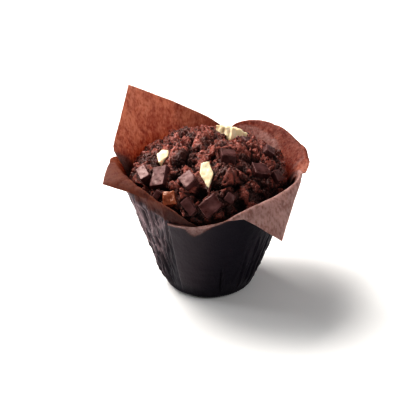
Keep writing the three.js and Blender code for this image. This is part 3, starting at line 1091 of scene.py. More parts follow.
@dataclass
class BrokenPieces:
    """Every piece of chocolate or caramel that sits in the top.

    Attributes:
        grain: Millimetres between the corners of a piece's mesh.
        weld: Millimetres within which the frame's corners are made one.
        shaving: The node that is a ridged shaving.
        ridge_spacing: Millimetres from ridge to ridge of the shaving.
    """

    grain: float = 0.34
    weld: float = 0.02
    shaving: str = "white_shard_crest"
    ridge_spacing: float = 3.5

    def _shave(self, points: Array, normals: Array) -> Array:
        """Gives a piece the ridges and the thin end of a shaving.

        Args:
            points: Its points.
            normals: Which way it faces there.

        Returns:
            The moved points.
        """
        centre = points.mean(axis=0)
        axis = np.linalg.svd(points - centre, full_matrices=False)[2][0]
        axis = axis * np.sign(axis[0])
        along = (points - centre) @ axis
        share = along / np.abs(along).max()
        slim = 1.12 - 0.5 * ramp(share, 0.4, 1.0) - 0.3 * ramp(share, -0.6, -1.0)
        slim = slim + 0.1 * ramp(np.abs(share), 0.6, 0.0)
        across = points - centre - along[:, None] * axis
        uneven = along + 0.5 * fractal(points, 5.0, 2, Pattern.SHAVING)
        ridge = 0.5 * np.abs(np.sin(math.pi * uneven / self.ridge_spacing)) - 0.2
        return centre + along[:, None] * axis + across * slim[:, None] + normals * ridge[:, None]

    @staticmethod
    def nodes() -> dict[str, Sweet]:
        """Finds the frame's nodes that are pieces.

        Returns:
            What each node is made of.
        """
        slots = {sweet.value: sweet for sweet in Sweet}
        rows = [row for row in frame["record"]["subparts"] if row["material_slot"] in slots]
        return {row["node"]: slots[row["material_slot"]] for row in rows}

    def _fine_mesh(self, node: str, name: str) -> bpy.types.Object:
        """Copies a piece's own corners into a fine, even mesh.

        Args:
            node: The frame's node.
            name: The new object's name.

        Returns:
            The object, with faces of about the grain's size.
        """
        mesh = frame["nodes"][node].data.copy()
        mesh.name = name
        mesh.materials.clear()
        shape = bmesh.new()
        shape.from_mesh(mesh)
        bmesh.ops.remove_doubles(shape, verts=shape.verts, dist=self.weld * MM)
        shape.to_mesh(mesh)
        shape.free()
        coarse = bpy.data.objects.new(name, mesh)
        bpy.context.scene.collection.objects.link(coarse)
        remesh = coarse.modifiers.new("even", "REMESH")
        remesh.mode = "VOXEL"
        remesh.voxel_size = self.grain * MM
        evaluated = coarse.evaluated_get(bpy.context.evaluated_depsgraph_get())
        fine = bpy.data.meshes.new_from_object(evaluated)
        coarse.modifiers.clear()
        coarse.data = fine
        fine.name = name
        return coarse

    @staticmethod
    def _ease_edges(mesh: bpy.types.Mesh, times: int) -> Array:
        """Rounds a mesh's edges.

        Args:
            mesh: The mesh.
            times: How many times it is eased.

        Returns:
            Millimetres that each corner moved, which is most on the edges.
        """
        shape = bmesh.new()
        shape.from_mesh(mesh)
        before = [vert.co.copy() for vert in shape.verts]
        axes = {"use_axis_x": True, "use_axis_y": True, "use_axis_z": True}
        for _ in range(times):
            bmesh.ops.smooth_vert(shape, verts=shape.verts, factor=0.5, **axes)
        moved = np.array([(vert.co - old).length for vert, old in zip(shape.verts, before)]) / MM
        shape.to_mesh(mesh)
        shape.free()
        mesh.update()
        return moved

    def build_one(self, node: str, sweet: Sweet, material: bpy.types.Material) -> bpy.types.Object:
        """Builds one piece with worn edges and a broken grain.

        Args:
            node: The frame's node.
            sweet: What it is made of.
            material: Its finish.

        Returns:
            The piece.
        """
        piece = self._fine_mesh(node, f"{node}_broken")
        mesh = piece.data
        make = MAKES[sweet]
        moved = self._ease_edges(mesh, make.softness)
        points, normals = mesh_points(mesh), mesh_normals(mesh)
        # each piece has a grain of its own
        seed = sum(node.encode()) % 97
        rough = 1.3 * make.chip * fractal(points, 4.6, 2, seed)
        rough = rough + 0.22 * make.chip * fractal(points, 1.0, 2, seed + 5)
        bitten = ramp(fractal(points, 4.5, 2, seed + 9), 0.35, 0.6) * np.clip(moved * 3, 0, 1)
        points = points + normals * (rough - 1.8 * make.chip * bitten)[:, None]
        if node == self.shaving:
            points = self._shave(points, normals)
        move_points(mesh, points)
        paint(mesh, "edge", np.clip(moved * 4, 0, 1))
        mesh.shade_smooth()
        mesh.materials.clear()
        mesh.materials.append(material)
        hand_over(piece, sweet.value, node)
        return piece

    def build(self) -> dict[Sweet, list[bpy.types.Object]]:
        """Builds every piece.

        Returns:
            The pieces of each kind.
        """
        finishes = {sweet: MAKES[sweet].finish.build() for sweet in Sweet}
        built: dict[Sweet, list[bpy.types.Object]] = {sweet: [] for sweet in Sweet}
        for node, sweet in self.nodes().items():
            built[sweet].append(self.build_one(node, sweet, finishes[sweet]))
        return built


@dataclass
class LooseCrumbs:
    """Grains that have fallen on the top and stuck to the pieces.

    Attributes:
        count: How many fall.
        seed: Picks where they fall.
        smallest: Radius of the smallest grain.
        largest: Radius of the largest grain.
        fineness: How much commoner small grains are than large ones.
        reach: How far from the middle they fall.
        drop: Height that they fall from.
        crest: How crusty they are, from 0 to 1.
        finish: Their finish.
    """

    count: int = 380
    seed: int = 5
    smallest: float = 0.3
    largest: float = 0.95
    fineness: float = 2.2
    reach: float = 40.0
    drop: float = 160.0
    crest: float = 0.72
    finish: CrumbFinish = CrumbFinish("loose_crumb", melted=(0.13, 0.036, 0.027))

    @staticmethod
    def _grain(at: Vector, facing: Vector, radius: float, seed: int) -> bmesh.types.BMesh:
        """Makes one uneven grain, part sunk where it lies.

        Args:
            at: Where it lies, in metres.
            facing: Which way the surface faces there.
            radius: Its radius in millimetres.
            seed: Picks its shape.

        Returns:
            The grain's mesh, in metres.
        """
        grain = bmesh.new()
        bmesh.ops.create_icosphere(grain, subdivisions=2, radius=radius * MM)
        points = np.array([vert.co for vert in grain.verts]) / MM
        swell = 1 + 0.45 * smooth_noise(points + seed * 7.0, radius, seed)
        for vert, size in zip(grain.verts, swell):
            vert.co = vert.co * float(size) + at + facing * (radius * 0.25 * MM)
        return grain

    @staticmethod
    def _tree(one: bpy.types.Object) -> BVHTree:
        """Makes a piece's faces ready to be hit by a falling grain.

        Args:
            one: The piece.

        Returns:
            Its faces as a search tree.
        """
        corners = [corner.co for corner in one.data.vertices]
        return BVHTree.FromPolygons(corners, [face.vertices for face in one.data.polygons])

    def build(self, holds: list[tuple[bpy.types.Object, float]]) -> bpy.types.Object:
        """Scatters the grains.

        Args:
            holds: What they fall on, and the radius of the largest that stays.

        Returns:
            All grains as one piece.
        """
        random = np.random.default_rng(self.seed)
        trees = [(self._tree(one), limit) for one, limit in holds]
        whole = bpy.data.meshes.new("loose_crumbs")
        joined = bmesh.new()
        down = Vector((0.0, 0.0, -1.0))
        for index in range(self.count):
            turn, out = random.uniform(0, math.tau), self.reach * math.sqrt(random.uniform(0, 1))
            above = Vector((out * math.cos(turn), out * math.sin(turn), self.drop)) * MM
            hits = [(*tree.ray_cast(above, down)[:2], limit) for tree, limit in trees]
            place, facing, limit = max((hit for hit in hits if hit[0]), key=lambda hit: hit[0].z)
            share = random.uniform(0, 1) ** self.fineness
            radius = self.smallest + (self.largest - self.smallest) * share
            if radius > limit:
                continue
            grain = self._grain(place, facing, radius, index)
            grain.to_mesh(whole)
            joined.from_mesh(whole)
            grain.free()
        joined.to_mesh(whole)
        joined.free()
        whole.shade_smooth()
        grains = bpy.data.objects.new("loose_crumbs", whole)
        bpy.context.scene.collection.objects.link(grains)
        paint(whole, "crest", np.full(len(whole.vertices), self.crest))
        whole.materials.append(self.finish.build())
        hand_over(grains, "chocolate_crumb", "muffin_crumb")
        return grains


# ---- paper case -------------------------------------------------------------


@dataclass(frozen=True)
class Rib:
    """One rib of the paper, from where it bends to where the sheet is cut.

    Attributes:
        turn: Degrees about +Z at the rim.
        ridge: Radius and height of its highest or outermost bend.
        edge: Turn, radius and height of the cut edge.
        bend: Radius and height from the ridge to the bend's handle, or None
            where the paper runs on straight.
        dry: Height above which the cake doesn't touch the paper.
    """

    turn: float
    ridge: tuple[float, float]
    edge: tuple[float, float, float]
    bend: tuple[float, float] | None = None
    dry: float = 58.0


class Column(IntEnum):
    """The numbers that describe one rib, in the order that a table holds them."""

    TURN = 0
    FOOT = 1
    LAYER = 2
    RIDGE_R = 3
    RIDGE_Z = 4
    BEND_R = 5
    BEND_Z = 6
    EDGE_X = 7
    EDGE_Y = 8
    EDGE_Z = 9
    GATHER = 10
    DRY = 11
    TONE = 12
    GLOW = 13
    WAVES = 14
    FACET = 15


@dataclass(frozen=True)
class Panel:
    """One petal's share of the square sheet.

    Attributes:
        name: Where it is.
        foot: Turns at which it begins and ends on the base.
        layers: Pleat layer at each end, 0 against the cake and 2 outermost.
        ribs: Its ribs, anticlockwise.
        gathers: How crumpled its wall is, from its first rib to its last.
        spacing: Millimetres between the columns of its mesh.
        tone: How lit its dry paper is painted, from 0, painted shade, to 1.
        glow: How much light comes through it, where 1 is usual.
        waves: Millimetres that its petal is dented.
        facets: How much painted light makes its smooth wall pale, as a lit facet, from its first rib to its
            last.
    """

    name: str
    foot: tuple[float, float]
    layers: tuple[float, float]
    ribs: tuple[Rib, ...]
    gathers: tuple[float, ...]
    spacing: float = 1.2
    tone: float = 0.5
    glow: float = 1.0
    waves: float = 0.1
    facets: tuple[float, ...] = (0.0, 0.0)


FRONT_RIGHT = Panel(
    "front_right",
    (236.5, 361),
    (2, 2),
    (
        Rib(241, (44.4, 57.4), (241, 44.8, 58.6), dry=62),
        Rib(249, (44.4, 57.4), (249, 45, 58.8), dry=60),
        Rib(260, (44.3, 57.4), (260, 45, 59.3), dry=51.5),
        Rib(273, (45.5, 61), (273, 46.6, 62.8), dry=60),
        Rib(281, (46.6, 64.4), (281.5, 48.4, 65), (1.2, 0.9), dry=63.5),
        Rib(289, (47.6, 68.8), (291, 50, 65.4), (2.4, 1), dry=66.5),
        Rib(297, (48.8, 71.8), (297.5, 52.6, 61.6), (3.6, 1.2), dry=68),
        Rib(305, (49.8, 73.4), (303.5, 56, 56.8), (4.4, 1.2), dry=68),
        Rib(312, (50.2, 74), (309.5, 60, 51.7), (4.8, 1), dry=68),
        Rib(322, (50.6, 74.6), (318, 55.9, 58.2), (3.8, 0.8), dry=67),
        Rib(334, (51, 74.8), (328, 53.2, 66), (2.6, 0.6), dry=66),
        Rib(344, (50.6, 74.4), (340, 52.2, 72.4), (1.6, 0.5), dry=65),
        Rib(352, (49.4, 71.4), (351, 51, 73), dry=64),
        Rib(360, (48, 67.4), (360, 49.4, 69.6), dry=62),
        Rib(368, (46.2, 62), (368, 47.2, 64.4), dry=60),
    ),
    (0.0, 0.0, 0.02, 0.06, 0.16, 0.3, 0.45, 0.7),
    spacing=0.9,
    tone=0.75,
    # painted light: a pale lit facet on the left of the smooth front wall
    facets=(0.075, 0.06, 0.012, 0.0, 0.0, 0.0, 0.0, 0.0),
)

BACK_RIGHT = Panel(
    "back_right",
    (363, 449.5),
    (0, 2),
    (
        Rib(356, (45.8, 64.6), (357, 53.6, 69.4), (1.6, 3), dry=60),
        Rib(363, (48.4, 68), (363, 55.6, 70.4), (3.6, 1.6)),
        Rib(370, (53.6, 71.6), (371, 57.6, 69.6), (2.4, 0.8)),
        Rib(380, (55.8, 73.6), (381, 60, 66.4), (3, 0.8)),
        Rib(391, (56, 75), (390, 61.6, 62.8), (3.6, 1)),
        Rib(404, (56.2, 76.4), (402, 63.4, 59.6), (4, 1.2)),
        Rib(414, (55.6, 76.8), (414, 60.6, 63.8), (3.6, 1.2)),
        Rib(422, (54.2, 76.4), (422, 57.8, 68.8), (3, 1)),
        Rib(432, (50.8, 73.6), (433, 53, 73), (1.4, 0.8)),
        Rib(444, (47.4, 66), (444, 48.4, 67.6)),
        Rib(457, (45, 60.4), (457, 45.8, 62.2)),
    ),
    (0.7, 0.3, 0.1, 0.1, 0.3, 0.7),
    tone=0.42,
    glow=1.55,
    waves=0.55,
)

BACK_LEFT = Panel(
    "back_left",
    (91.5, 164),
    (0, 0),
    (
        Rib(84, (45.8, 62.6), (82, 48.4, 73.6)),
        Rib(91, (46, 63.4), (91, 49.4, 78.4)),
        Rib(99, (46.2, 64), (99, 50, 81.8)),
        Rib(113, (46.6, 66), (113, 54, 88.2)),
        Rib(127, (46.6, 68), (127.8, 54.3, 96.6)),
        Rib(141.5, (46.8, 70), (141.5, 58, 105)),
        Rib(152, (47.6, 69), (152, 55.8, 92.6)),
        Rib(163, (48.4, 68), (163, 55.5, 80.6)),
        Rib(168, (48.4, 67.4), (168, 54.9, 78.6)),
        Rib(172, (47.6, 66.4), (170.6, 53.9, 76.6)),
    ),
    (0.7, 0.25, 0.1, 0.15, 0.7),
)

FRONT_LEFT = Panel(
    "front_left",
    (166, 231),
    (2, 0),
    (
        Rib(158, (47.4, 62.6), (158, 50, 66.6), dry=58),
        Rib(166, (50.2, 66.6), (166, 53.8, 71), dry=60),
        Rib(175, (51, 71.4), (175, 54.2, 74.4), dry=62),
        Rib(184, (51, 76), (185, 54.2, 76.8), dry=64),
        Rib(194, (51, 79), (196, 57.4, 78.4), (2.6, 1), dry=65),
        Rib(201, (50.6, 79.6), (202, 60.6, 77.6), (3.6, 1.4), dry=66),
        Rib(207, (50.4, 79.6), (207, 63.6, 76.6), (5, 1.6), dry=66),
        Rib(213, (50.1, 79), (212.5, 59.2, 75.8), (3.8, 1.2), dry=65),
        Rib(220, (49.6, 77.6), (219.5, 54.8, 74.8), (2.8, 0.8), dry=64),
        Rib(229, (48.8, 75.2), (228, 51.2, 73.2), (1.4, 0.5), dry=62),
        Rib(238, (47.6, 71), (238, 48.6, 72), dry=60),
        Rib(248, (46.2, 66), (248, 47.2, 67.8), dry=58),
        Rib(256, (44.8, 60.4), (256, 45.6, 62.4), dry=56),
        Rib(262, (44.2, 57.4), (262, 44.8, 59.4), dry=55),
    ),
    (0.6, 0.6, 0.66, 0.78, 0.95, 1.0, 1.0, 0.95, 0.55, 0.0, 0.0),
    spacing=0.5,
    tone=0.0,
)


@dataclass(frozen=True)
class Crease:
    """One crease that runs up the smooth front wall.

    Attributes:
        turn: Degrees about +Z at its lower end.
        low: Height of its lower end.
        high: Height of its upper end.
        width: Degrees that it is wide.
        depth: How deep it is, as a share of the deepest.
        lean: Degrees that it leans back for each millimetre up.
        fades: Millimetres over which it begins and ends.
        fold: Millimetres that the deepest crease would fold, before it fades.
    """

    turn: float
    low: float
    high: float
    width: float
    depth: float
    lean: float = 0.05
    fades: tuple[float, float] = (5.0, 10.0)
    fold: float = 2.6

    def push(self, turn: Array, height: Array) -> Array:
        """Works out how far the crease moves the paper.

        Args:
            turn: Degrees about +Z of each point.
            height: Height of each point.

        Returns:
            Millimetres outwards for each point.
        """
        middle = self.turn - (height - self.low) * self.lean
        across = (turn - middle) / self.width
        begins = ramp(height, self.low, self.low + self.fades[0])
        ends = ramp(height, self.high, self.high - self.fades[1])
        return self.depth * across * np.exp(-(across**2)) * self.fold * (begins * ends)


@dataclass
class TulipCase:
    """The square of paper pressed into a cup, with four petals and pleats.

    Attributes:
        node: The frame's node.
        panels: The four petals, anticlockwise from the front.
        base_radius: Radius at which the wall would meet the table.
        wall_slope: How far the wall leans out for each millimetre up.
        sole: Height of the paper in the base.
        lowest: Height that no crease goes below.
        fillet: How far inside the wall the base begins to turn up.
        fillet_swing: Degrees that it has turned where the wall begins.
        wall_foot: Height at which the straight wall begins.
        mouth: Height at which it ends.
        layer_step: Millimetres from one layer of a pleat to the next.
        layers_from: Height at which the layers have come fully apart.
        thickness: Thickness of the paper.
        fold_spacing: Millimetres between columns in a hidden fold.
        unroll_radius: Radius that the wall is laid flat from.
        rim_radius: Radius that the columns' spacing is measured at.
        pleat_radius: Radius that a hidden fold's width is measured at.
        edge_ease: How much coarser the columns may be along the cut edge.
        pressed: Share of a layer's step that is left where the base turns up.
        fillet_mark: How far along the rib that place counts as.
        base_rows: Rows of points across the base.
        fillet_rows: Rows where the base turns up.
        wall_rows: Rows up the wall.
        throat_rows: Rows from the mouth to the ridge.
        flap_rows: Rows from the ridge to the cut edge.
        lit_facet_tone: Tone of the upward facet of the right-hand back petal, painted light.
        facet_line: Turn and place along the rib of points on its upper edge.
        ear_turn: Degrees about +Z of the short fold at that petal's near end.
        creases: The single creases of the front wall.
        bands: Height and depth of the faint rings of the front wall.
        square: Side of the flat square of paper.
    """

    node: str = "tulip_case"
    panels: tuple[Panel, ...] = (FRONT_RIGHT, BACK_RIGHT, BACK_LEFT, FRONT_LEFT)
    base_radius: float = TIN_RADIUS
    wall_slope: float = TIN_SLOPE
    sole: float = 0.2
    lowest: float = 0.12
    fillet: float = 3.0
    fillet_swing: float = 70.0
    wall_foot: float = 2.0
    mouth: float = 56.0
    layer_step: float = 0.5
    layers_from: float = 12.0
    thickness: float = 0.16
    fold_spacing: float = 0.9
    unroll_radius: float = 44.0
    rim_radius: float = 48.0
    pleat_radius: float = 46.0
    edge_ease: float = 0.6
    pressed: float = 0.15
    fillet_mark: float = 0.03
    base_rows: int = 6
    fillet_rows: int = 4
    wall_rows: int = 44
    throat_rows: int = 16
    flap_rows: int = 22
    lit_facet_tone: float = 0.95
    facet_line: tuple[tuple[float, float], ...] = (
        (394.0, 1.66),
        (414.0, 1.8),
        (430.0, 1.96),
        (440.0, 2.0),
    )
    ear_turn: float = 372.5
    creases: tuple[Crease, ...] = (
        Crease(284.0, 5.0, 29.0, 1.1, 1.0),
        Crease(306.0, 4.0, 40.0, 1.6, 0.4),
        Crease(315.0, 8.0, 46.0, 1.4, 0.45),
        Crease(323.0, 3.0, 34.0, 1.8, 0.4),
        Crease(331.0, 10.0, 50.0, 1.5, 0.5),
    )
    bands: tuple[tuple[float, float], ...] = ((14.0, 0.1), (19.5, 0.12), (24.0, 0.12), (38.0, 0.08))
    square: float = 178.0

    @staticmethod
    def _between(values: tuple[float, ...], share: float) -> float:
        """Reads evenly spaced values at a share of the way along them."""
        return np.interp(share, np.linspace(0, 1, len(values)), values)

    def _panel_table(self, panel: Panel) -> Array:
        """Writes a panel out as numbers.

        Args:
            panel: The panel.

        Returns:
            One row for each rib, in the order of Column.
        """
        first, last = panel.ribs[0].turn, panel.ribs[-1].turn
        rows = []
        for rib in panel.ribs:
            along = (rib.turn - first) / (last - first)
            foot = panel.foot[0] + along * (panel.foot[1] - panel.foot[0])
            layer = panel.layers[0] + along * (panel.layers[1] - panel.layers[0])
            turn, radius, height = rib.edge
            bend = rib.bend or ((radius - rib.ridge[0]) / 2, (height - rib.ridge[1]) / 2)
            place = math.radians(turn)
            out = radius + layer * self.layer_step
            edge = (out * math.cos(place), out * math.sin(place), height)
            wall = (self._between(panel.gathers, along), rib.dry)
            petal = (panel.tone, panel.glow, panel.waves, self._between(panel.facets, along))
            rows.append((rib.turn, foot, layer, *rib.ridge, *bend, *edge, *wall, *petal))
        return np.array(rows)

    def _fill_panel(self, table: Array, spacing: float) -> Array:
        """Adds smooth rows between a panel's ribs, and keeps cut edges straight.

        Args:
            table: One row for each rib.
            spacing: Millimetres between columns.

        Returns:
            One row for each column of the fine sheet.
        """
        filled = []
        padded = np.concatenate([2 * table[:1] - table[1:2], table, 2 * table[-1:] - table[-2:-1]])
        straight = [Column.EDGE_X, Column.EDGE_Y, Column.EDGE_Z]
        for index in range(len(table) - 1):
            before, a, b, after = padded[index : index + 4]
            width = math.radians(abs(b[Column.TURN] - a[Column.TURN])) * self.rim_radius
            reach = np.linalg.norm(b[straight] - a[straight])
            steps = max(3, math.ceil(max(width, reach * self.edge_ease) / spacing))
            # a smooth curve through the ribs, and a straight run between cut edges
            for t in np.arange(steps) / steps:
                row = 0.5 * (
                    2 * a
                    + (b - before) * t
                    + (2 * before - 5 * a + 4 * b - after) * t**2
                    + (3 * a - before - 3 * b + after) * t**3
                )
                row[straight] = (a + (b - a) * t)[straight]
                row[Column.GATHER] = a[Column.GATHER] + (b[Column.GATHER] - a[Column.GATHER]) * t
                filled.append(row)
        filled.append(table[-1])
        return np.array(filled)

    def _hidden_fold(self, end: Array, start: Array) -> Array:
        """Works out the layer that runs back between two panels.

        Args:
            end: The last row of one panel.
            start: The first row of the next.

        Returns:
            Rows of the middle layer, from the one fold to the other.
        """
        there = start.copy()
        for column in (Column.TURN, Column.FOOT):
            there[column] += 360 * round((end[column] - start[column]) / 360)
        width = math.radians(abs(there[Column.TURN] - end[Column.TURN])) * self.pleat_radius
        steps = max(6, math.ceil(width / self.fold_spacing))
        shares = np.linspace(0, 1, steps)
        rows = end + (there - end) * shares[:, None]
        rows[:, Column.LAYER] = 1
        inner = 0.2 + 0.6 * shares
        rows[:, Column.FOOT] = end[Column.FOOT] + (there[Column.FOOT] - end[Column.FOOT]) * inner
        return rows

    def _columns(self) -> Array:
        """Lines up the panels and their hidden folds round the whole sheet.

        Returns:
            One row for each column of points, in the order of Column.
        """
        tables = [self._fill_panel(self._panel_table(panel), panel.spacing) for panel in self.panels]
        parts = []
        for index, table in enumerate(tables):
            following = tables[(index + 1) % len(tables)]
            parts += [table, self._hidden_fold(table[-1], following[0])]
        return np.concatenate(parts)

    def _wall(self, height: Array | float) -> Array | float:
        """Radius of the baking tin's wall at a height."""
        return self.base_radius + self.wall_slope * height

    def _sheet(self, columns: Array) -> tuple[Array, Array, Array]:
        """Places every point of the sheet's middle surface.

        Args:
            columns: One row of rib numbers for each column.

        Returns:
            Points by column and row, each point's turn in degrees, and how far
            it is along the rib, where 1 is the mouth, 2 the ridge and 3 the cut.
        """
        count = len(columns)
        turn, foot = columns[:, Column.TURN][:, None], columns[:, Column.FOOT][:, None]
        side = columns[:, Column.LAYER][:, None] * self.layer_step
        blocks, turns, marks = [], [], []

        def add(radius: Array | float, angle: Array, height: Array | float, mark: float) -> None:
            """Adds one row of points all the way round.

            Args:
                radius: How far from the middle the points are.
                angle: Their turns in degrees.
                height: Their height.
                mark: How far along the rib they are.
            """
            radius, angle, height = (np.broadcast_to(v, (count, 1)) for v in (radius, angle, height))
            place = np.radians(angle)
            blocks.append(np.concatenate([radius * np.cos(place), radius * np.sin(place), height], axis=1))
            turns.append(angle[:, 0])
            marks.append(np.full(count, mark))

        # the base
        flat = self.base_radius - self.fillet
        for row in range(1, self.base_rows + 1):
            add(flat * row / self.base_rows, foot, self.sole, 0.0)
        # where it turns up
        full = math.radians(self.fillet_swing)
        for row in range(1, self.fillet_rows + 1):
            swing = full * row / self.fillet_rows
            out = (self._wall(self.wall_foot) - flat) * math.sin(swing) / math.sin(full)
            rise = (self.wall_foot - self.sole) * (1 - math.cos(swing)) / (1 - math.cos(full))
            add(flat + out + side * self.pressed, foot, self.sole + rise, self.fillet_mark)
        # the straight wall, over which the pleats' layers part
        for row in range(1, self.wall_rows + 1):
            height = self.wall_foot + (self.mouth - self.wall_foot) * row / self.wall_rows
            share = height / self.mouth
            angle = foot + (turn - foot) * share
            offset = side * min(height / self.layers_from, 1.0)
            add(self._wall(height) + offset, angle, height, share)
        # the throat, a curve from the mouth to the ridge
        ridge_r, ridge_z = columns[:, Column.RIDGE_R][:, None] + side, columns[:, Column.RIDGE_Z][:, None]
        half = (self.mouth + ridge_z) / 2
        for row in range(1, self.throat_rows + 1):
            t = row / self.throat_rows
            a, b, c = (1 - t) ** 2, 2 * (1 - t) * t, t**2
            radius = a * (self._wall(self.mouth) + side) + b * (self._wall(half) + side) + c * ridge_r
            add(radius, turn, a * self.mouth + b * half + c * ridge_z, 1 + t)
        # the flap, a curve from the ridge to the cut edge
        ridge = blocks[-1]
        handle, edge, edge_turn = self._flaps(columns, ridge_r[:, 0])
        for row in range(1, self.flap_rows + 1):
            t = row / self.flap_rows
            blocks.append((1 - t) ** 2 * ridge + 2 * (1 - t) * t * handle + t**2 * edge)
            turns.append(columns[:, Column.TURN] + (edge_turn - columns[:, Column.TURN]) * t)
            marks.append(np.full(count, 2 + t))
        return np.stack(blocks, axis=1), np.stack(turns, axis=1), np.stack(marks, axis=1)

    def _flaps(self, columns: Array, ridge_r: Array) -> tuple[Array, Array, Array]:
        """Works out how each column bends over from its ridge to the cut edge.

        Args:
            columns: One row of rib numbers for each column.
            ridge_r: Radius of each column's ridge.

        Returns:
            The handle of each bend, each end point, and its turn in degrees.
        """
        edge = columns[:, [Column.EDGE_X, Column.EDGE_Y, Column.EDGE_Z]]
        edge_turn = np.degrees(np.arctan2(edge[:, 1], edge[:, 0]))
        edge_turn += 360 * np.round((columns[:, Column.TURN] - edge_turn) / 360)
        middle = np.radians((columns[:, Column.TURN] + edge_turn) / 2)
        reach = ridge_r + columns[:, Column.BEND_R]
        height = columns[:, Column.RIDGE_Z] + columns[:, Column.BEND_Z]
        handle = np.column_stack([reach * np.cos(middle), reach * np.sin(middle), height])
        return handle, edge, edge_turn

    def _unroll(self, turns: Array, height: Array) -> Array:
        """Lays the wall flat, drawn out so that creases run up it.

        Args:
            turns: Degrees about +Z of each point.
            height: Height of each point.

        Returns:
            A flat place for each point, in millimetres.
        """
        around = np.radians(turns) * self.unroll_radius
        flat = np.column_stack([around, height, np.zeros_like(around)])
        sway = 2.2 * fractal(flat * [1, 0.6, 1], 11.0, 2, Pattern.CREASE_SWAY)
        sway = sway + 0.5 * fractal(flat, 3.5, 2, Pattern.CREASE_TREMBLE)
        return np.column_stack([around + sway, height * 0.1, np.zeros_like(around)])

    def _crumple(self, points: Array, turns: Array, marks: Array, columns: Array) -> tuple[Array, Array]:
        """Works out the creases pressed and baked into the paper.

        Args:
            points: The sheet's points by column and row.
            turns: Their turns in degrees.
            marks: How far along the rib they are.
            columns: The rib numbers of each column.

        Returns:
            Millimetres outwards, and how much painted highlight each point gets on its ridges and lit facet,
            by column and row.
        """
        shape = points.shape[:2]
        gather, waves, facet = (
            np.repeat(columns[:, key], shape[1]) for key in (Column.GATHER, Column.WAVES, Column.FACET)
        )
        place, turn, mark = points.reshape(-1, 3), turns.ravel(), marks.ravel()
        height = place[:, 2]
        around = np.radians(turn) * self.unroll_radius
        flat = np.column_stack([around, height, np.zeros_like(around)])
        # gathers, which run up the wall where the square's slack is pressed in
        drawn = self._unroll(turn, height)
        coarse = (1 - np.abs(smooth_noise(drawn, 3.0, Pattern.COARSE_GATHERS))) ** 3
        fine = (1 - np.abs(smooth_noise(drawn * [1, 1.8, 1], 1.7, Pattern.FINE_GATHERS))) ** 3
        pleats = (2.0 * (coarse - 0.4) + 1.0 * (fine - 0.4)) * gather
        rise = ramp(height, 1.0, 10.0) * (1 - 0.82 * ramp(mark, 1.15, 1.9))
        # cockled wall, dented petals and a ripple round the foot
        dents = 1 - 2 * np.abs(smooth_noise(place, 6.0, Pattern.WALL_DENTS))
        cloudy = 0.16 * fractal(place, 16.0, 2, Pattern.WALL_SWELLS) + 0.08 * dents
        crisp = 1 - 2 * np.abs(smooth_noise(place, 7.0, Pattern.PETAL_DENTS))
        swells = 0.5 * fractal(place, 22.0, 2, Pattern.PETAL_SWELLS)
        flaps = ramp(mark, 1.6, 2.2) * (swells + waves * crisp)
        ripple = np.sin(around * 2.6 + 2 * fractal(flat, 6.0, 2, Pattern.HEM))
        hem = ramp(height, 6.0, 2.0) * ramp(height, 0.3, 1.2) * 0.25 * ripple
        total = pleats * rise + cloudy * ramp(height, 0.5, 6.0) + flaps + hem
        total += self._front_creases(turn, height)
        total += 0.5 * self._back_facet(turn, mark)[1]
        # painted highlights on the gathers' ridges, fading into painted shade towards the foot
        crease_highlight = np.clip(0.1 + 0.6 * coarse**2.4 + 0.4 * fine**2.4, 0, 1) * gather**3 * rise
        crease_highlight *= 0.2 + 0.8 * ramp(height, 16.0, 48.0)
        # painted light: the pale lit facet of the smooth front wall
        crease_highlight += facet * ramp(height, 2.0, 14.0)
        return total.reshape(shape), crease_highlight.reshape(shape)

    def _back_facet(self, turn: Array, mark: Array) -> tuple[Array, Array]:
        """Works out the painted lit facet and the folds of the right-hand back petal, with a painted
        highlight along the short ear fold.

        Args:
            turn: Degrees about +Z.
            mark: How far along the rib each point is.

        Returns:
            How much painted light each point gets from the lit facet and the ear fold's highlight, and how
            much of a fold.
        """
        turn = np.where(turn < 180, turn + 360, turn)
        above = mark - np.interp(turn, *zip(*self.facet_line))
        here = ramp(turn, 392.0, 400.0) * ramp(turn, 446.0, 438.0) * ramp(mark, 1.0, 1.3)
        # the ear is a real small fold, and a painted highlight line runs along it too
        ear = np.exp(-(((turn - self.ear_turn + 4 * (mark - 1.7)) / 0.9) ** 2))
        ear = ear * ramp(mark, 1.4, 1.6) * ramp(mark, 2.2, 2.0)
        facet = here * ramp(above, 0.02, -0.04)
        fold = here * np.exp(-((above / 0.03) ** 2))
        return np.clip(facet + ear, 0, 1), fold + 0.8 * ear

    def _front_creases(self, turn: Array, height: Array) -> Array:
        """Works out the few single creases of the smooth front wall.

        Args:
            turn: Degrees about +Z.
            height: Height above the table.

        Returns:
            Millimetres outwards for each point.
        """
        total = np.zeros_like(height)
        for crease in self.creases:
            total += crease.push(turn, height)
        along = ramp(turn, 248, 256) * ramp(turn, 286, 272)
        for level, depth in self.bands:
            total += depth * np.exp(-(((height - level) / 0.7) ** 2)) * along
        return total

    def _wet(self, points: Array, marks: Array, columns: Array) -> tuple[Array, Array]:
        """Works out where the cake touches the paper and where fat has crept.

        Args:
            points: The sheet's points by column and row.
            marks: How far along the rib they are.
            columns: The rib numbers of each column.

        Returns:
            How much each point touches, and how soaked it is, from 0 to 1.
        """
        shape = points.shape[:2]
        place, front_to_back = points.reshape(-1, 3), points[..., 1]
        wander = 1.4 * fractal(place, 5.0, 3, Pattern.DRY_LINE).reshape(shape)
        above = points[..., 2] - (columns[:, Column.DRY][:, None] + wander)
        # the cake's line on the paper is softer where the wall is gathered
        soft = 1.4 + 3.6 * columns[:, Column.GATHER][:, None]
        contact = np.clip((1.4 - above) / (1.4 + soft), 0, 1)
        contact = contact + 0.5 * np.exp(-np.maximum(above, 0) / 5.0)
        contact = np.clip(contact, 0, 1) * ramp(marks, 2.1, 1.7)
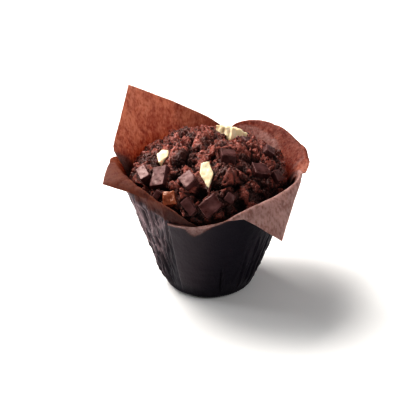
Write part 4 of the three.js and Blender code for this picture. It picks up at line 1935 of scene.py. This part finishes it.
        # fat creeps furthest up the back petals, and hardly onto the front flaps
        reach = 4.0 + 15.0 * ramp(front_to_back, -5.0, 20.0)
        away = above + 30 * np.clip(marks - 1.8, 0, 1) * ramp(front_to_back, 20.0, -5.0)
        blots = 0.8 + 0.5 * fractal(place, 4.0, 3, Pattern.SOAKING).reshape(shape)
        soak = np.exp(-np.maximum(away, 0) / reach) * blots
        return contact, np.clip(soak, 0, 1)

    @staticmethod
    def _faces(count: int, rows: int) -> list:
        """Joins the sheet's points into faces, and closes the base.

        Args:
            count: How many columns of points there are.
            rows: How many points are in each.

        Returns:
            Corner numbers of each face. The base's middle comes last.
        """
        at = np.arange(count * rows).reshape(count, rows)
        beside = np.roll(at, -1, axis=0)
        faces = np.stack([at[:, :-1], beside[:, :-1], beside[:, 1:], at[:, 1:]], axis=-1)
        middle = [(count * rows, int(b), int(a)) for a, b in zip(at[:, 0], beside[:, 0])]
        return faces.reshape(-1, 4).tolist() + middle

    def build(self, rests_on: list[bpy.types.Object]) -> bpy.types.Object:
        """Builds and dresses the case.

        Args:
            rests_on: Not used.

        Returns:
            The case.
        """
        columns = self._columns()
        points, turns, marks = self._sheet(columns)
        crumple, crease_highlight = self._crumple(points, turns, marks, columns)
        flat = np.concatenate([points.reshape(-1, 3), [[0.0, 0.0, self.sole]]])
        case = make_object("tulip_case_paper", flat, self._faces(*points.shape[:2]))
        moved = flat + mesh_normals(case.data) * np.append(crumple.ravel(), 0.0)[:, None]
        moved[:, 2] = np.maximum(moved[:, 2], self.lowest)
        move_points(case.data, moved)
        contact, soak = self._wet(points, marks, columns)
        gather = columns[:, Column.GATHER][:, None] ** 1.7 * ramp(marks, 1.6, 1.0)
        # the crease lines, both their painted highlight and their bump, fade towards the foot as painted
        # shade
        gather = gather * (0.3 + 0.7 * ramp(points[..., 2], 16.0, 46.0))
        # painted light and shade: each petal's tone, raised to the lit facet's tone where the back petal
        # faces up
        facet = self._back_facet(turns, marks)[0]
        tone = columns[:, Column.TONE][:, None] * (1 - facet) + self.lit_facet_tone * facet
        glow = columns[:, Column.GLOW][:, None] * (1 - 0.35 * facet)
        for name, values, at_middle in (
            ("contact", contact, 1.0),
            ("soak", soak, 1.0),
            ("crinkle_highlight", crease_highlight, 0.2),
            ("tone", tone, 0.5),
            ("glow", glow, 0.0),
            ("gather", gather, 0.0),
        ):
            paint(case.data, name, np.append(values.ravel(), at_middle))
        unrolled = self._unroll(turns.ravel(), flat[:-1, 2])
        paint_places(case.data, "unrolled", np.append(unrolled, [[0, 0, 0]], axis=0))
        thick = case.modifiers.new("paper", "SOLIDIFY")
        thick.thickness = self.thickness * MM
        thick.offset = 0.0
        case.data.materials.append(PaperFinish().build())
        hand_over(case, "greaseproof_paper", self.node)
        return case


# ---- studio -----------------------------------------------------------------


@dataclass(frozen=True)
class SoftBox:
    """A square lamp with a diffuser, aimed at the muffin.

    Attributes:
        name: The lamp's name.
        place: Where it hangs, in metres.
        size: Side of the diffuser, in metres.
        power: Its power in watts.
        colour: The colour of its light.
    """

    name: str
    place: tuple[float, float, float]
    size: float
    power: float
    colour: Colour = (1.0, 1.0, 1.0)

    def build(self, target: Vector) -> None:
        """Hangs the lamp.

        Args:
            target: The point it is aimed at, in metres.
        """
        lamp = bpy.data.lights.new(self.name, "AREA")
        lamp.shape = "SQUARE"
        lamp.size = self.size
        lamp.energy = self.power
        lamp.color = self.colour
        holder = bpy.data.objects.new(self.name, lamp)
        holder.location = self.place
        holder.rotation_euler = (target - holder.location).to_track_quat("-Z", "Y").to_euler()
        bpy.context.scene.collection.objects.link(holder)


@dataclass
class Studio:
    """A pale table, soft lamps and the camera.

    Attributes:
        aim: The point that the camera looks at, in metres.
        elevation: Degrees that the camera looks down.
        distance: Metres from the camera to that point.
        lens: Focal length in millimetres.
        lit: The point that the lamps are aimed at, in metres.
        lamps: The lamps.
        sky: Strength of the light from all round.
        table_side: Side of the table, in millimetres.
        table_dark: The darker colour of its grain.
        table_pale: The paler colour of its grain.
    """

    aim: tuple[float, float, float] = (-0.0006, 0.0, 0.045)
    elevation: float = 30.0
    distance: float = 0.75
    lens: float = 114.87
    lit: tuple[float, float, float] = (0.0, 0.0, 0.05)
    lamps: tuple[SoftBox, ...] = (
        SoftBox("key_back_left", (-0.5, 0.42, 0.86), 0.72, 17.8, (1.0, 0.97, 0.93)),
        SoftBox("side_left", (-1.05, 0.3, 0.2), 0.36, 7.5),
        SoftBox("fill_right", (1.05, -0.4, 0.72), 0.7, 4.6),
    )
    sky: float = 0.2
    table_side: float = 2800.0
    table_dark: Colour = (0.86, 0.855, 0.85)
    table_pale: Colour = (0.9, 0.9, 0.895)

    def _table(self) -> None:
        """Lays a pale matt table with a faint grain."""
        half = self.table_side / 2
        corners = [(-half, -half, 0.0), (half, -half, 0.0), (half, half, 0.0), (-half, half, 0.0)]
        table = make_object("table", np.array(corners), [(0, 1, 2, 3)], smooth=False)
        recipe = Recipe("pale_table")
        tone = recipe.mix(recipe.noise(30.0, 2.0), self.table_dark, self.table_pale)
        table.data.materials.append(recipe.finish(recipe.surface(Base_Color=tone, Roughness=0.75)))

    def _camera(self) -> None:
        """Sets the camera up in front of the muffin, looking down at it."""
        lens = bpy.data.cameras.new("camera")
        lens.lens = self.lens
        lens.sensor_width = 36.0
        lens.clip_start = 0.01
        camera = bpy.data.objects.new("camera", lens)
        tilt = math.radians(self.elevation)
        back = Vector((0.0, -math.cos(tilt), math.sin(tilt)))
        camera.location = Vector(self.aim) + back * self.distance
        camera.rotation_euler = (-back).to_track_quat("-Z", "Y").to_euler()
        bpy.context.scene.collection.objects.link(camera)
        bpy.context.scene.camera = camera

    def build(self) -> None:
        """Sets up the table, lamps, sky and camera."""
        self._table()
        self._camera()
        for lamp in self.lamps:
            lamp.build(Vector(self.lit))
        world = bpy.data.worlds.new("soft_sky")
        world.use_nodes = True
        background = world.node_tree.nodes["Background"]
        background.inputs["Color"].default_value = (1.0, 1.0, 1.0, 1.0)
        background.inputs["Strength"].default_value = self.sky
        bpy.context.scene.world = world
        bpy.context.scene.view_settings.view_transform = "Standard"
        bpy.context.scene.view_settings.look = "High Contrast"


# ---- assembly ---------------------------------------------------------------


def main() -> None:
    """Builds the studio, the crumb, the broken pieces and the paper case."""
    Studio().build()
    crumb = MuffinCrumb().build([Socket(node) for node in BrokenPieces.nodes()])
    pieces = BrokenPieces().build()
    baked_in = [(piece, MAKES[sweet].holds) for sweet, built in pieces.items() for piece in built]
    grains = LooseCrumbs().build([(crumb, MuffinCrumb.holds), *baked_in])
    case = TulipCase().build([crumb])
    for piece in (crumb, *(piece for piece, _ in baked_in), grains, case):
        LOG.info("built %s with %d points", piece.name, len(piece.data.vertices))


if __name__ == "__main__":
    main()
